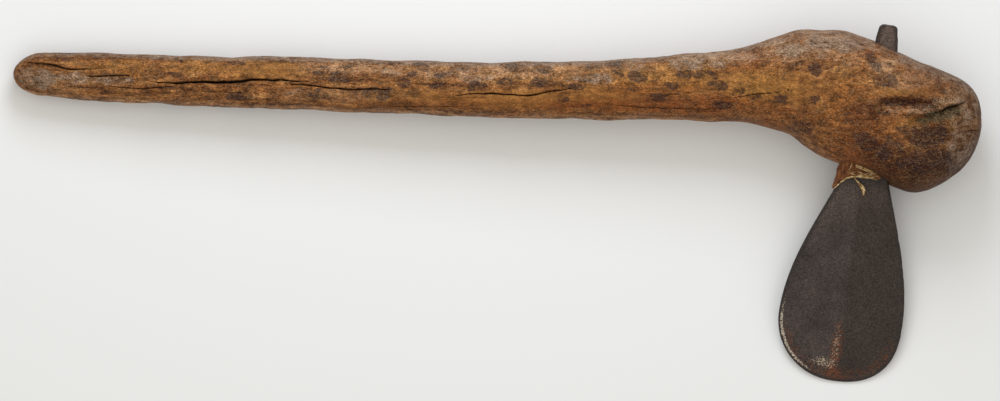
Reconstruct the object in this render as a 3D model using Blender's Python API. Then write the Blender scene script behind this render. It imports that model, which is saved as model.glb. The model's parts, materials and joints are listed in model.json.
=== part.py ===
"""An axe with a club-headed wooden haft and a tanged iron blade, lying on its side on a table.

The haft is one piece of root wood: a straight handle that swells into a heavy round head.
The blade's tang is driven right through the head, with a fold of hide and a few straws packed round it.
Metres, +Z up, +X along the haft towards the head, and the blade points along -Y.
The axe rests on the butt of the handle, the belly of the head and the tip of the blade.
"""

import math

import bmesh
import bpy
import numpy as np
from mathutils import Matrix, Vector

# Haft. Heights are across the haft in the blade's plane, and depths are from the table up.
HANDLE_LENGTH = 0.469
HEAD_LENGTH = 0.181
HANDLE_HEIGHT = 0.0387
HANDLE_DEPTH = 0.0365
HEAD_HEIGHT = 0.0919
HEAD_DEPTH = 0.078
BELLY_FLAT = 0.0014  # how much of the round belly is pared away where the head rests
BUTT_FLAT = 0.0005  # the same where the handle's end rests
LUMP_DEPTH = 0.0007  # how far the hewn surface wanders from a fair curve
LUMP_LENGTH = 0.083  # of the longest of its slow waves along the haft
CRACK_WIDTH = 0.0016  # of the widest drying crack

# Blade and tang. The tang runs through the head and stands out above it.
BLADE_LENGTH = 0.1435  # from the slot's mouth to the tip of the cutting edge
BLADE_WIDTH = 0.0835
BLADE_THICKNESS = 0.0046  # at the middle of its widest part
EDGE_THICKNESS = 0.0012
BEVEL_WIDTH = 0.006
TANG_PROUD = 0.0137
TANG_CORNER = 0.0024
TANG_ROUNDING = 0.001  # how far in from the tang's edges its faces round off
TANG_END_LEFT = 0.0040  # from the blade's axis to the tang's edge, on the handle's side
TANG_END_RIGHT = 0.0072
TANG_END_THICKNESS = 0.0050
ROOT_LEFT = 0.0135  # the same where the tang ends and the blade begins
ROOT_RIGHT = 0.0173
ROOT_THICKNESS = 0.0066
SHOULDER_DROP = 0.002  # from the slot's mouth to where the blade begins to flare
BLADE_LEAN = math.radians(8.5)  # of the blade's axis from square to the haft
LEFT_FULLNESS = 2.0  # of the blade's rounded end: 2 is a circle, and more is squarer
RIGHT_FULLNESS = 2.45
TANG_POWER = 0.72  # how the tang widens to its root: 1 is straight, and less is fuller
FLARE_POWER = 1.1  # how the blade flares below its root: more starts it more slowly
TANG_RIM = 0.72  # share of the tang's thickness left at its edges
BLADE_RIM = 1.7  # times the edge's thickness, where the bevel begins

# Packing
HIDE_THICKNESS = 0.0014
HIDE_TUCK = 0.014  # how far it is driven into the slot
HIDE_REACH = 0.0115  # how far its two flaps reach past the blade's axis
HIDE_DROP = 0.0010  # how far the flaps come out below the mouth
HIDE_HANG = 0.0114  # how much further down the fold hangs than the flaps
FOLD_BULGE = 0.0038  # how far the fold stands out past the iron's edge at the mouth, where it is loosest
HANG_START = 0.2  # share of the way from the axis to the iron's edge where the hem begins to hang
HANG_RUN = 1.08  # the same, from there to where it hangs its full length
HANG_POWER = 2.6  # of the hem's curve down to it
STRAW_THICKNESS = 0.0006
STRAW_WIDTH = 0.0011
STRAW_GAP = 0.0010  # from the hide's hem to the middle of the straw that follows it
CLEARANCE = 0.0003  # between any two pieces that touch
MOUTH_NOTCH = 0.0056  # how deep the wood is pared back in front of the mouth

# The haft's slow waves: a share of the longest one's length, times round the haft, and where it starts.
LUMP_WAVES = ((1.0, 3, 0.0), (0.69, -2, 1.3), (0.43, 5, 4.0))

# The haft's run of sections: a share of the length, then the middle's offset, height and depth as shares.
HANDLE_SECTIONS = (
    (0.036, 0.166, 0.759, 0.73),
    (0.125, 0.120, 0.856, 0.85),
    (0.239, 0.056, 0.875, 0.91),
    (0.411, 0.006, 0.931, 0.95),
    (0.583, -0.070, 0.945, 0.97),
    (0.754, -0.117, 1.000, 1.00),
    (0.868, -0.104, 1.057, 1.06),
    (0.926, -0.077, 1.118, 1.10),
)
HEAD_SECTIONS = (
    (0.000, -0.020, 0.511, 0.54),
    (0.104, -0.010, 0.546, 0.59),
    (0.193, 0.001, 0.629, 0.67),
    (0.281, -0.002, 0.733, 0.77),
    (0.341, -0.029, 0.847, 0.85),
    (0.400, -0.065, 0.922, 0.91),
    (0.489, -0.104, 0.984, 0.97),
    (0.578, -0.167, 0.995, 1.00),
    (0.696, -0.274, 1.000, 0.99),
    (0.741, -0.307, 0.983, 0.96),
    (0.785, -0.319, 0.937, 0.92),
    (0.845, -0.318, 0.863, 0.85),
    (0.904, -0.304, 0.828, 0.82),
    (1.000, -0.256, 0.850, 0.82),
)
BUTT_DOME = 0.036  # share of the handle over which the butt rounds off
CROWN_DOME = 0.215  # share of the head over which its far end rounds off
BUTT_POWER = 1.35  # of each rounding: 2 is an ellipse, and less is more pointed
CROWN_POWER = 2.2
SQUARENESS = 2.25  # of a section: 2 is an ellipse, and more is squarer
BUTT_REST = 0.125  # share of the handle where it rests on the table
BELLY_REST = 0.62  # share of the head where it rests
TANG_SHARE = 0.635  # share of the head where the tang comes out
DOME_RINGS = 7
HANDLE_RINGS = 20
HEAD_RINGS = 23
RING_POINTS = 44

# The knot hollow and its pit on the side that faces up. Places are shares of the head's length and height.
HOLLOW_AT = (0.690, -0.290)
HOLLOW_HALF_LENGTH = 0.026
HOLLOW_HALF_WIDTH = 0.0150
HOLLOW_DEPTH = 0.0060
PIT_AT = (0.822, -0.430)
PIT_RADIUS = 0.0085
PIT_DEPTH = 0.0045

# Drying cracks: a share of the widest, then points as shares of the length and half height of the handle.
CRACKS = {
    "butt": (0.69, ((0.016, 0.80), (0.053, 0.50), (0.082, 0.33), (0.100, 0.31), (0.124, 0.36))),
    "short": (0.5, ((0.103, 0.00), (0.134, 0.05), (0.167, 0.11))),
    "low": (0.5, ((0.143, -0.39), (0.186, -0.41), (0.229, -0.27))),
    "long": (1.0, ((0.206, -0.12), (0.266, -0.06), (0.325, 0.01), (0.372, 0.12), (0.420, 0.08))),
    "middle": (0.75, ((0.401, -0.05), (0.458, -0.17), (0.491, -0.19), (0.527, -0.16), (0.545, -0.17))),
    "neck": (0.63, ((0.642, -0.24), (0.667, -0.17), (0.704, -0.16), (0.740, -0.19), (0.801, 0.10))),
}
CRACK_DEPTH = 5.0  # times the widest opening
CRACK_FLARE = 0.75  # times the opening, from a cutter's middle to its side above the wood
CRACK_TAPER = 0.6  # power of the sine that closes a crack towards its ends: less keeps it open for longer
CRACK_END = 0.08  # share of the opening that is left at each end
SPLIT_WIDTH = 0.0018  # of the split that runs from the hollow to the head's end
SPLIT_DEPTH = 0.0060
SPLIT_POINTS = ((0.715, -0.270), (0.790, -0.215), (0.862, -0.150), (0.925, -0.040))

# The edge pared back over the mouth, seen from above: to the side, then below the mouth, in notch depths.
NOTCH_EDGE = (
    (-3.60, -0.55),
    (-3.32, -0.73),
    (-1.93, -1.18),
    (-0.20, -0.89),
    (1.79, -0.21),
    (2.50, 0.09),
    (3.21, 0.61),
    (3.39, 1.29),
    (3.54, 2.68),
)
NOTCH_REACH = 3.6  # how far below the mouth the notch is cut, in its depths

WOOD = (0.27, 0.125, 0.045, 1.0)
IRON = (0.055, 0.045, 0.038, 1.0)
HIDE = (0.16, 0.062, 0.028, 1.0)
STRAW = (0.45, 0.30, 0.10, 1.0)

LEFT = (TANG_END_LEFT, ROOT_LEFT, LEFT_FULLNESS)
RIGHT = (TANG_END_RIGHT, ROOT_RIGHT, RIGHT_FULLNESS)
ROUND_RADIUS = BLADE_WIDTH / 2


def smooth_line(places, values, at):
    """A smooth line through the values at the places, in cubic pieces that never overshoot a value."""
    places = np.asarray(places, float)
    values = np.asarray(values, float)
    steps = np.diff(places)
    slopes = np.diff(values) / steps
    before = 2 * steps[1:] + steps[:-1]
    after = steps[1:] + 2 * steps[:-1]
    same_way = slopes[:-1] * slopes[1:] > 0
    first = np.where(same_way, slopes[:-1], 1)
    second = np.where(same_way, slopes[1:], 1)
    inner = np.where(same_way, (before + after) / (before / first + after / second), 0)
    tangents = np.concatenate([slopes[:1], inner, slopes[-1:]])
    at = np.clip(at, places[0], places[-1])
    i = np.clip(np.searchsorted(places, at, side="right") - 1, 0, len(steps) - 1)
    t = (at - places[i]) / steps[i]
    return (
        values[i] * (1 + 2 * t) * (1 - t) ** 2
        + tangents[i] * steps[i] * t * (1 - t) ** 2
        + values[i + 1] * t**2 * (3 - 2 * t)
        + tangents[i + 1] * steps[i] * t**2 * (t - 1)
    )


def haft_dome(x):
    """1 along the haft, falling to 0 at its two rounded ends."""
    butt = BUTT_DOME * HANDLE_LENGTH
    crown = CROWN_DOME * HEAD_LENGTH
    past_butt = np.clip((butt - x) / butt, 0, 1)
    past_crown = np.clip((x - HANDLE_LENGTH - HEAD_LENGTH + crown) / crown, 0, 1)
    return np.sqrt((1 - past_butt**BUTT_POWER) * (1 - past_crown**CROWN_POWER))


def haft_section(x):
    """The middle's offset, half height and half depth of the section at distance x from the butt."""
    handle = np.array(HANDLE_SECTIONS) * (HANDLE_LENGTH, HANDLE_HEIGHT, HANDLE_HEIGHT, HANDLE_DEPTH)
    head = np.array(HEAD_SECTIONS) * (HEAD_LENGTH, HEAD_HEIGHT, HEAD_HEIGHT, HEAD_DEPTH)
    head[:, 0] += HANDLE_LENGTH
    places, middles, heights, depths = np.vstack([handle, head]).T
    dome = haft_dome(x)
    return (
        smooth_line(places, middles, x),
        smooth_line(places, heights, x) / 2 * dome,
        smooth_line(places, depths, x) / 2 * dome,
    )


def haft_lift(x):
    """The section middle's height: a straight line from the resting butt to the resting belly."""
    butt = BUTT_REST * HANDLE_LENGTH
    belly = HANDLE_LENGTH + BELLY_REST * HEAD_LENGTH
    at_butt = haft_section(butt)[2] - BUTT_FLAT
    at_belly = haft_section(belly)[2] - BELLY_FLAT
    return at_butt + (at_belly - at_butt) * (x - butt) / (belly - butt)


def lower_outline(x):
    middle, half_height, _ = haft_section(x)
    return middle - half_height


def cross_the_head():
    """Where the blade's axis enters the head's upper outline, and how far it runs inside the wood."""
    entry_x = HANDLE_LENGTH + TANG_SHARE * HEAD_LENGTH
    middle, half_height, _ = haft_section(entry_x)
    entry_y = float(middle + half_height)
    about_tilt = math.asin(HEAD_DEPTH / 2 / (HEAD_HEIGHT / 2 + BLADE_LENGTH))
    steps = np.linspace(0, 3 * HEAD_HEIGHT, 3001)
    x = entry_x - steps * math.sin(BLADE_LEAN)
    y = entry_y - steps * math.cos(BLADE_LEAN) * math.cos(about_tilt)
    return entry_x, entry_y, float(steps[y > lower_outline(x)][-1])


ENTRY_X, ENTRY_Y, CROSSING = cross_the_head()
MOUTH = TANG_PROUD + CROSSING  # from the tang's end to where the blade comes out of the wood
SHOULDER = MOUTH + SHOULDER_DROP
ROUND_CENTRE = MOUTH + BLADE_LENGTH - ROUND_RADIUS
TANG_PLACES = np.linspace(TANG_CORNER, SHOULDER, 8)
FLARE_PLACES = np.linspace(SHOULDER, ROUND_CENTRE, 15)
ACROSS_PLACES = np.sin(np.linspace(-math.pi / 2, math.pi / 2, 15))[None, :]  # closer together near the edges
# From the upper flap's hem out to the fold, round it, and back along the lower flap.
FLAP_WAY = np.concatenate([np.linspace(0, 1, 9), np.ones(7), np.linspace(1, 0, 9)])
FOLD_TURN = np.concatenate([np.zeros(8), np.linspace(0, math.pi, 9), np.full(8, math.pi)])


def clear_scene():
    for old in list(bpy.data.objects):
        bpy.data.objects.remove(old)


def material(name, colour, roughness, metallic=0.0):
    made = bpy.data.materials.new(name)
    made.use_nodes = True
    shader = made.node_tree.nodes["Principled BSDF"]
    shader.inputs["Base Color"].default_value = colour
    shader.inputs["Roughness"].default_value = roughness
    shader.inputs["Metallic"].default_value = metallic
    made.diffuse_color = colour
    return made


def solid_through(name, rings, finish=None):
    """A closed solid through rings with equal numbers of points, each end closed by a fan of faces."""
    form = bmesh.new()
    rows = [[form.verts.new(point) for point in ring] for ring in rings]
    ends = [form.verts.new(np.mean(ring, axis=0)) for ring in (rings[0], rings[-1])]
    for j in range(len(rows[0])):
        k = (j + 1) % len(rows[0])
        for first, second in zip(rows, rows[1:]):
            form.faces.new((first[j], first[k], second[k], second[j]))
        form.faces.new((ends[0], rows[0][k], rows[0][j]))
        form.faces.new((ends[1], rows[-1][j], rows[-1][k]))
    if form.calc_volume(signed=True) < 0:
        bmesh.ops.reverse_faces(form, faces=form.faces[:])
    bmesh.ops.triangulate(form, faces=form.faces[:])
    mesh = bpy.data.meshes.new(name)
    form.to_mesh(mesh)
    form.free()
    made = bpy.data.objects.new(name, mesh)
    bpy.context.scene.collection.objects.link(made)
    if finish is not None:
        mesh.materials.append(finish)
        mesh.shade_smooth()
        mesh.set_sharp_from_angle(angle=math.radians(35))
    return made


def cut(target, cutter):
    cutter.hide_render = True
    cutter.display_type = "WIRE"
    boolean = target.modifiers.new(cutter.name, "BOOLEAN")
    boolean.operation = "DIFFERENCE"
    boolean.solver = "EXACT"
    boolean.object = cutter


def lumps(x, turn):
    """The slow waves that hewing leaves, from -1 to 1, over distance x and turn in radians."""
    along = 2 * math.pi * x / LUMP_LENGTH
    waves = [np.sin(along / share + times * turn + start) for share, times, start in LUMP_WAVES]
    return sum(waves) / len(waves)


def head_point(at):
    return HANDLE_LENGTH + at[0] * HEAD_LENGTH, at[1] * HEAD_HEIGHT


def hollow_depth(x, y):
    """How far the knot hollow and its pit sink the upper side at (x, y): two soft bowls."""
    hollow_x, hollow_y = head_point(HOLLOW_AT)
    pit_x, pit_y = head_point(PIT_AT)
    hollow = np.hypot((x - hollow_x) / HOLLOW_HALF_LENGTH, (y - hollow_y) / HOLLOW_HALF_WIDTH)
    pit = np.hypot(x - pit_x, y - pit_y) / PIT_RADIUS
    return HOLLOW_DEPTH * np.exp(-(hollow**3)) + PIT_DEPTH * np.exp(-(pit**3))


def haft_ring_places():
    """Distances of the rings from the butt, crowding together at the two rounded ends."""
    rounding = 1 - np.cos(np.linspace(0.1, math.pi / 2, DOME_RINGS))
    butt = BUTT_DOME * HANDLE_LENGTH
    crown = HEAD_LENGTH * CROWN_DOME
    end = HANDLE_LENGTH + HEAD_LENGTH
    handle = np.linspace(butt, HANDLE_LENGTH, HANDLE_RINGS + 1)[1:]
    head = np.linspace(HANDLE_LENGTH, end - crown, HEAD_RINGS + 1)[1:-1]
    return np.concatenate([butt * rounding, handle, head, end - crown * rounding[::-1]])


def make_haft():
    """Squarish oval sections, a little wavy, with the hollow sunk in their upper side and flats below."""
    x = haft_ring_places()[:, None]
    turn = np.linspace(0, 2 * math.pi, RING_POINTS, endpoint=False)[None, :]
    middle, half_height, half_depth = haft_section(x)
    swell = 1 + LUMP_DEPTH * lumps(x, turn) / np.maximum(half_height, HANDLE_HEIGHT / 2)
    across = np.sign(np.cos(turn)) * np.abs(np.cos(turn)) ** (2 / SQUARENESS)
    up = np.sign(np.sin(turn)) * np.abs(np.sin(turn)) ** (2 / SQUARENESS)
    y = middle + across * half_height * swell
    sunk = hollow_depth(x, y) * np.clip(2 * np.sin(turn), 0, 1)
    z = haft_lift(x) + up * half_depth * swell - sunk
    points = np.stack([np.broadcast_to(x, y.shape), y, np.maximum(z, 0)], axis=-1)
    return solid_through("haft", points, material("oiled_root_wood", WOOD, 0.55))


def haft_top(x, y):
    """The height of the haft's upper side over the table at (x, y), before it is lumped or hollowed."""
    middle, half_height, half_depth = haft_section(x)
    side = min(abs(y - middle) / half_height, 1)
    return haft_lift(x) + half_depth * (1 - side**SQUARENESS) ** (1 / SQUARENESS)


def crack_cutter(name, points, width, depth):
    """A V-shaped cutter along the points on the upper side, closing to almost nothing at both ends."""
    given = np.linspace(0, 1, len(points))
    at = np.linspace(0, 1, 3 * len(points) - 2)
    x = smooth_line(given, [p[0] for p in points], at)
    y = smooth_line(given, [p[1] for p in points], at)
    opening = np.maximum(np.sin(math.pi * at) ** CRACK_TAPER, CRACK_END)
    rings = []
    for px, py, share in zip(x, y, opening):
        top = haft_top(px, py)
        flare = width * share * CRACK_FLARE
        above = top + depth / 2
        rings.append(((px, py - flare, above), (px, py + flare, above), (px, py, top - depth * share)))
    return solid_through(name, rings)


def crack_points(shares):
    """A crack's points in metres, from shares of the handle's length and of its half height there."""
    points = []
    for along, across in shares:
        x = along * HANDLE_LENGTH
        middle, half_height, _ = haft_section(x)
        points.append((x, float(middle + across * half_height)))
    return points


def half_width(down, side):
    """From the blade's axis to the iron's edge on one side, at distance down from the tang's end.

    The tang widens evenly to its root, the blade flares from there as a sine, and its end is rounded.
    """
    tang_end, root, fullness = side
    tang = tang_end + (root - tang_end) * np.clip(down / SHOULDER, 0, 1) ** TANG_POWER
    corner = np.clip(TANG_CORNER - down, 0, TANG_CORNER)
    tang = tang - TANG_CORNER + np.sqrt(TANG_CORNER**2 - corner**2)
    flare = np.clip((down - SHOULDER) / (ROUND_CENTRE - SHOULDER), 0, 1)
    blade = root + (ROUND_RADIUS - root) * np.sin(math.pi / 2 * flare**FLARE_POWER)
    past = np.clip((down - ROUND_CENTRE) / ROUND_RADIUS, 0, 1)
    rounded = ROUND_RADIUS * (1 - past**fullness) ** (1 / fullness)
    return np.where(down < SHOULDER, tang, np.where(down < ROUND_CENTRE, blade, rounded))


def half_thickness(down, from_edge):
    """Half the iron's thickness at distance down, and at a distance in from its outline."""
    to_widest = np.clip((down - SHOULDER) / (ROUND_CENTRE - SHOULDER), 0, 1)
    tang = TANG_END_THICKNESS + (ROOT_THICKNESS - TANG_END_THICKNESS) * np.clip(down / SHOULDER, 0, 1)
    middle = tang + (BLADE_THICKNESS - ROOT_THICKNESS) * to_widest
    rim = TANG_RIM * tang + (BLADE_RIM * EDGE_THICKNESS - TANG_RIM * ROOT_THICKNESS) * np.sqrt(to_widest)
    rounding = TANG_ROUNDING + (ROUND_RADIUS - TANG_ROUNDING) * to_widest
    inward = np.clip(from_edge / rounding, 0, 1)
    plain = rim + (middle - rim) * (1 - (1 - inward) ** 2)
    ground = EDGE_THICKNESS + (middle - EDGE_THICKNESS) * (from_edge / BEVEL_WIDTH + 1 - to_widest)
    return np.minimum(plain, ground) / 2


def iron_rings(down, across, extra=0.0):
    """Rings round the iron, one at each distance down: over its lower side and back over its upper."""
    width = np.where(across < 0, half_width(down, LEFT)[:, None], half_width(down, RIGHT)[:, None])
    side = (width + extra) * across
    fullness = np.where(across < 0, LEFT_FULLNESS, RIGHT_FULLNESS)
    past = np.maximum(down - ROUND_CENTRE, 0)[:, None] / ROUND_RADIUS
    within = (past**fullness + (np.abs(side) / ROUND_RADIUS) ** fullness) ** (1 / fullness)
    from_edge = np.where(past > 0, ROUND_RADIUS * (1 - within), width * (1 - np.abs(across)))
    thick = half_thickness(down[:, None], np.maximum(from_edge, 0)) + extra
    rows = np.broadcast_to(-down[:, None], side.shape)
    upper = np.stack([side, rows, thick], axis=-1)
    lower = np.stack([side, rows, -thick], axis=-1)
    return np.concatenate([lower, upper[:, ::-1]], axis=1)


def blade_rings():
    corner = TANG_CORNER * (1 - np.cos(np.linspace(0, math.pi / 2, 5)))
    rounded = ROUND_CENTRE + ROUND_RADIUS * np.sin(np.linspace(0, math.radians(88), 12)[1:])
    return iron_rings(np.concatenate([corner, TANG_PLACES[1:], FLARE_PLACES[1:], rounded]), ACROSS_PLACES)


def seat_the_blade():
    """The blade's place in the haft's frame: tilted about the head's middle until it touches the table."""
    half_way = TANG_PROUD + CROSSING / 2
    turned = Matrix.Rotation(-BLADE_LEAN, 4, "Z")
    points = np.array([turned @ Vector(point) for point in blade_rings().reshape(-1, 3) + (0, half_way, 0)])
    outer = points[-points[:, 1] > HEAD_HEIGHT]
    pivot_x = ENTRY_X - CROSSING / 2 * math.sin(BLADE_LEAN)
    height = float(haft_lift(pivot_x))
    tilts = np.arcsin(height / np.hypot(outer[:, 1], outer[:, 2])) - np.arctan2(-outer[:, 2], -outer[:, 1])
    tilt = float(tilts.min())
    pivot_y = ENTRY_Y - CROSSING / 2 * math.cos(BLADE_LEAN) * math.cos(tilt)
    tilted = Matrix.Translation((pivot_x, pivot_y, height)) @ Matrix.Rotation(tilt, 4, "X")
    return tilted @ turned @ Matrix.Translation((0, half_way, 0))


def make_slot_cutter():
    """The iron's own shape with its clearance, from above the head to below its mouth."""
    down = np.concatenate([TANG_PLACES, FLARE_PLACES[1:4]])
    rings = iron_rings(down, ACROSS_PLACES, CLEARANCE)
    rings[0, :, 1] = TANG_PROUD
    return solid_through("slot_cutter", rings)


def hide_offset(down):
    """From the iron's middle plane to the middle of the hide's thickness."""
    return half_thickness(down, ROUND_RADIUS) + CLEARANCE + HIDE_THICKNESS / 2


def hide_course(down, swell=0.0):
    """Where the folded hide passes at distance down: upper flap, fold over the iron's edge, lower flap.

    Swell is how far outside the middle of the hide's thickness the course runs.
    """
    edge = -half_width(down, LEFT)
    reach = HIDE_REACH + swell
    tight = 2 * CLEARANCE + HIDE_THICKNESS / 2
    from_mouth = np.where(down < MOUTH, (MOUTH - down) / HIDE_TUCK, (down - MOUTH) / (HIDE_DROP + HIDE_HANG))
    bulge = tight + (FOLD_BULGE - tight) * np.clip(1 - from_mouth, 0, 1) + swell
    side = reach + (edge - reach) * FLAP_WAY - bulge * np.sin(FOLD_TURN)
    return side, (hide_offset(down) + swell) * np.cos(FOLD_TURN)


def hide_hem(side):
    """How far down the hide's lower hem lies at a place to the side of the axis: lowest at the fold."""
    toward_fold = np.clip((-side / ROOT_LEFT - HANG_START) / HANG_RUN, 0, 1)
    return MOUTH + HIDE_DROP + HIDE_HANG * toward_fold**HANG_POWER


def make_hide(finish):
    """One sheet folded round the tang's edge, given its thickness by Solidify."""
    rows, columns = 7, len(FLAP_WAY)
    top = MOUTH - HIDE_TUCK
    hem = hide_hem(hide_course(SHOULDER)[0])
    down = top + (hem - top) * np.linspace(0, 1, rows)[:, None]
    side, height = hide_course(down)
    corners = np.stack([side, -down, height], axis=-1).reshape(-1, 3)
    first = np.arange(rows * columns).reshape(rows, columns)[:-1, :-1].ravel()
    faces = np.stack([first, first + 1, first + columns + 1, first + columns], axis=-1)
    mesh = bpy.data.meshes.new("hide_packing")
    mesh.from_pydata(corners.tolist(), [], faces.tolist())
    mesh.materials.append(finish)
    made = bpy.data.objects.new("hide_packing", mesh)
    bpy.context.scene.collection.objects.link(made)
    thick = made.modifiers.new("thickness", "SOLIDIFY")
    thick.thickness = HIDE_THICKNESS
    thick.offset = 0.0
    thick.use_even_offset = True
    return made


def make_hide_cutter():
    """The recess that the folded hide fills at the slot's mouth, with its clearance."""
    down = np.linspace(MOUTH - HIDE_TUCK - CLEARANCE, MOUTH + HIDE_HANG, 10)[:, None]
    side, height = hide_course(down, HIDE_THICKNESS / 2 + CLEARANCE)
    rings = np.stack([side, np.broadcast_to(-down, side.shape), height], axis=-1)
    return solid_through("hide_cutter", rings)


def make_notch_cutter(blade_place):
    """The scallop pared from the wood over the mouth: plumb walls that rise from just over the iron."""
    floor = float(half_thickness(MOUTH, ROUND_RADIUS)) + CLEARANCE / 2
    edge_side, edge_down = MOUTH_NOTCH * np.array(NOTCH_EDGE).T
    upper = np.linspace(edge_side[0], edge_side[-1], 21)
    side = np.concatenate([upper, upper[::-1]])
    lower = np.full_like(upper, NOTCH_REACH * MOUTH_NOTCH)
    below = np.concatenate([smooth_line(edge_side, edge_down, upper), lower])
    plumb = blade_place.to_3x3().transposed() @ Vector((0, 0, 1))
    rings = []
    for height in (floor, HEAD_DEPTH):
        shift = plumb * (height / plumb.z)
        rings.append(np.stack([side + shift.x, shift.y - MOUTH - below, np.full_like(side, height)], axis=-1))
    return solid_through("notch_cutter", rings)


def iron_top(down, side):
    """Height of the iron's upper face over its middle plane."""
    width = half_width(down, LEFT if side < 0 else RIGHT)
    return float(half_thickness(down, max(width - abs(side), 0)))


def hide_top(down, side):
    """Height of the hide's upper face over the iron's middle plane."""
    return float(hide_offset(down)) + HIDE_THICKNESS / 2


def make_straw(name, points, rests_on, finish, widths=(1.0, 1.0), curl=0.0):
    """A flat straw through points (distance beside the axis, distance below the mouth), lying on a face.

    Each width is a share of the common straw's, and curl is how high its far end lifts.
    """
    at = np.linspace(0, 1, 4 * len(points) - 3)
    given = np.linspace(0, 1, len(points))
    side = smooth_line(given, [p[0] for p in points], at)
    down = MOUTH + smooth_line(given, [p[1] for p in points], at)
    half = STRAW_WIDTH / 2 * smooth_line(np.linspace(0, 1, len(widths)), widths, at)
    heading = np.arctan2(np.gradient(down), np.gradient(side))
    step_side, step_down = half * np.sin(heading), half * np.cos(heading)
    rings = []
    for i, share in enumerate(at):
        base = rests_on(down[i], side[i]) + CLEARANCE + curl * share**2
        near = (side[i] + step_side[i], -down[i] + step_down[i])
        far = (side[i] - step_side[i], -down[i] - step_down[i])
        above = base + STRAW_THICKNESS
        rings.append(((*near, base), (*far, base), (*far, above), (*near, above)))
    return solid_through(name, rings, finish)


def make_straws(finish):
    """The strand that follows the hide's hem, and the short bits caught in the mouth."""
    left, right = ROOT_LEFT, ROOT_RIGHT
    sides = (-1.26 * left, -0.95 * left, -0.65 * left, -0.28 * left, 0.2 * right, 0.6 * right)
    hem = [(side, float(hide_hem(side)) - MOUTH + STRAW_GAP) for side in sides]
    in_mouth = ((-0.0050, -0.0046), (0.0035, -0.0028), (0.0100, -0.0006))
    sliver = ((-0.0088, -0.0048), (-0.0082, -0.0025), (-0.0076, -0.0004))
    curl = ((-0.0050, 0.0044), (-0.0016, 0.0078), (0.0022, 0.0117), (0.0030, 0.0158))
    return [
        make_straw("straw_along_hem", hem, iron_top, finish),
        make_straw("straw_in_mouth", in_mouth, hide_top, finish, (1.5, 1.4, 1.2)),
        make_straw("straw_sliver", sliver, hide_top, finish, (0.7, 0.9, 0.5)),
        make_straw("straw_curl", curl, iron_top, finish, (0.7, 1.2, 2.3, 0.6), 0.0025),
    ]


def stand_on_origin(root, solids):
    """Moves the axe so that the origin lies on the table under the middle of its box."""
    bpy.context.view_layer.update()
    corners = np.array([obj.matrix_world @ v.co for obj in solids for v in obj.data.vertices])
    middle = (corners.min(axis=0) + corners.max(axis=0)) / 2
    root.location = (-middle[0], -middle[1], 0)


def build():
    clear_scene()
    blade_place = seat_the_blade()
    root = bpy.data.objects.new("axe", None)
    blade_frame = bpy.data.objects.new("blade_frame", None)
    for empty in (root, blade_frame):
        bpy.context.scene.collection.objects.link(empty)
    blade_frame.parent = root
    blade_frame.matrix_world = blade_place

    haft = make_haft()
    split = [head_point(at) for at in SPLIT_POINTS]
    wood_cutters = [crack_cutter("head_split", split, SPLIT_WIDTH, SPLIT_DEPTH)]
    for name, (share, places) in CRACKS.items():
        width = share * CRACK_WIDTH
        wood_cutters.append(crack_cutter(f"{name}_crack", crack_points(places), width, CRACK_DEPTH * width))
    slot_cutters = [make_slot_cutter(), make_hide_cutter(), make_notch_cutter(blade_place)]

    blade = solid_through("blade", blade_rings(), material("forged_iron", IRON, 0.5, 0.8))
    hide = make_hide(material("packing_hide", HIDE, 0.7))
    straws = make_straws(material("dry_straw", STRAW, 0.6))
    for child in (haft, *wood_cutters):
        child.parent = root
    for child in (blade, hide, *straws, *slot_cutters):
        child.parent = blade_frame
    for cutter in (*wood_cutters, *slot_cutters):
        cut(haft, cutter)
    stand_on_origin(root, [haft, blade])


build()
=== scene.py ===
"""The looks of a club-hafted axe that lies on its side: hewn root wood, forged iron, packing hide and straw.

Metres, +Z up, +X along the haft towards the head, and the blade points along -Y. Each surface is worked
out on a grid as whole arrays, in the haft's own frame or in the blade's, and then placed. Marks that the
photograph shows are given in its pixels, and plan() turns them into metres on the haft.
"""

import json
import math

import bpy
import numpy as np
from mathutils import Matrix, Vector

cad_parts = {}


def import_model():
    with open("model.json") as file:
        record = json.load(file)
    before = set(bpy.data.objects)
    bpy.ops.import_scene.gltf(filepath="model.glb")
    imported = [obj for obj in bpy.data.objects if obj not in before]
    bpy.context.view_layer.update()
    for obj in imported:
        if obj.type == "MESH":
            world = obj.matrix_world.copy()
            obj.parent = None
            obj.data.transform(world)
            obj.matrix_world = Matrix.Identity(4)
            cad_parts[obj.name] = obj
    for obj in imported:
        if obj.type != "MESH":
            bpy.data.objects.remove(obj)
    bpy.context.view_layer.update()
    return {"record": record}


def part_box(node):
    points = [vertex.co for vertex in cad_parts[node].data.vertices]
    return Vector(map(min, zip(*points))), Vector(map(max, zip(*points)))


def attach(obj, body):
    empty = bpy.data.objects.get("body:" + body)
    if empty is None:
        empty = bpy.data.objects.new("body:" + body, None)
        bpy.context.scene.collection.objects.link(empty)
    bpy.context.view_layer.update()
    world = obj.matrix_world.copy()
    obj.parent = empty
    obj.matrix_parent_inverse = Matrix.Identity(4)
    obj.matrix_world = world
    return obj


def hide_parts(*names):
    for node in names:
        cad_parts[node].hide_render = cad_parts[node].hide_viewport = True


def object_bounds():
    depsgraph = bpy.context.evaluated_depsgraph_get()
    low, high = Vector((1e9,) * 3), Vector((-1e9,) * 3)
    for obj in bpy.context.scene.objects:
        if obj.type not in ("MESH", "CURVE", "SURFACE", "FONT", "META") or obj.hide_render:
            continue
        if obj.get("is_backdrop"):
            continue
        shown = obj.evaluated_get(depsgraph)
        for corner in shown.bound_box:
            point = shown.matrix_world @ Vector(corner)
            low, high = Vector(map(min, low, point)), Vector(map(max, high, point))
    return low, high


# The photograph: 1000 by 401 pixels, seen from straight above.
PHOTO_WIDTH, PHOTO_HEIGHT = 1000, 401
METRES_PER_PIXEL = 0.00067052
BUTT_PIXEL = 12.5  # where the haft begins, from the left
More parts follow.
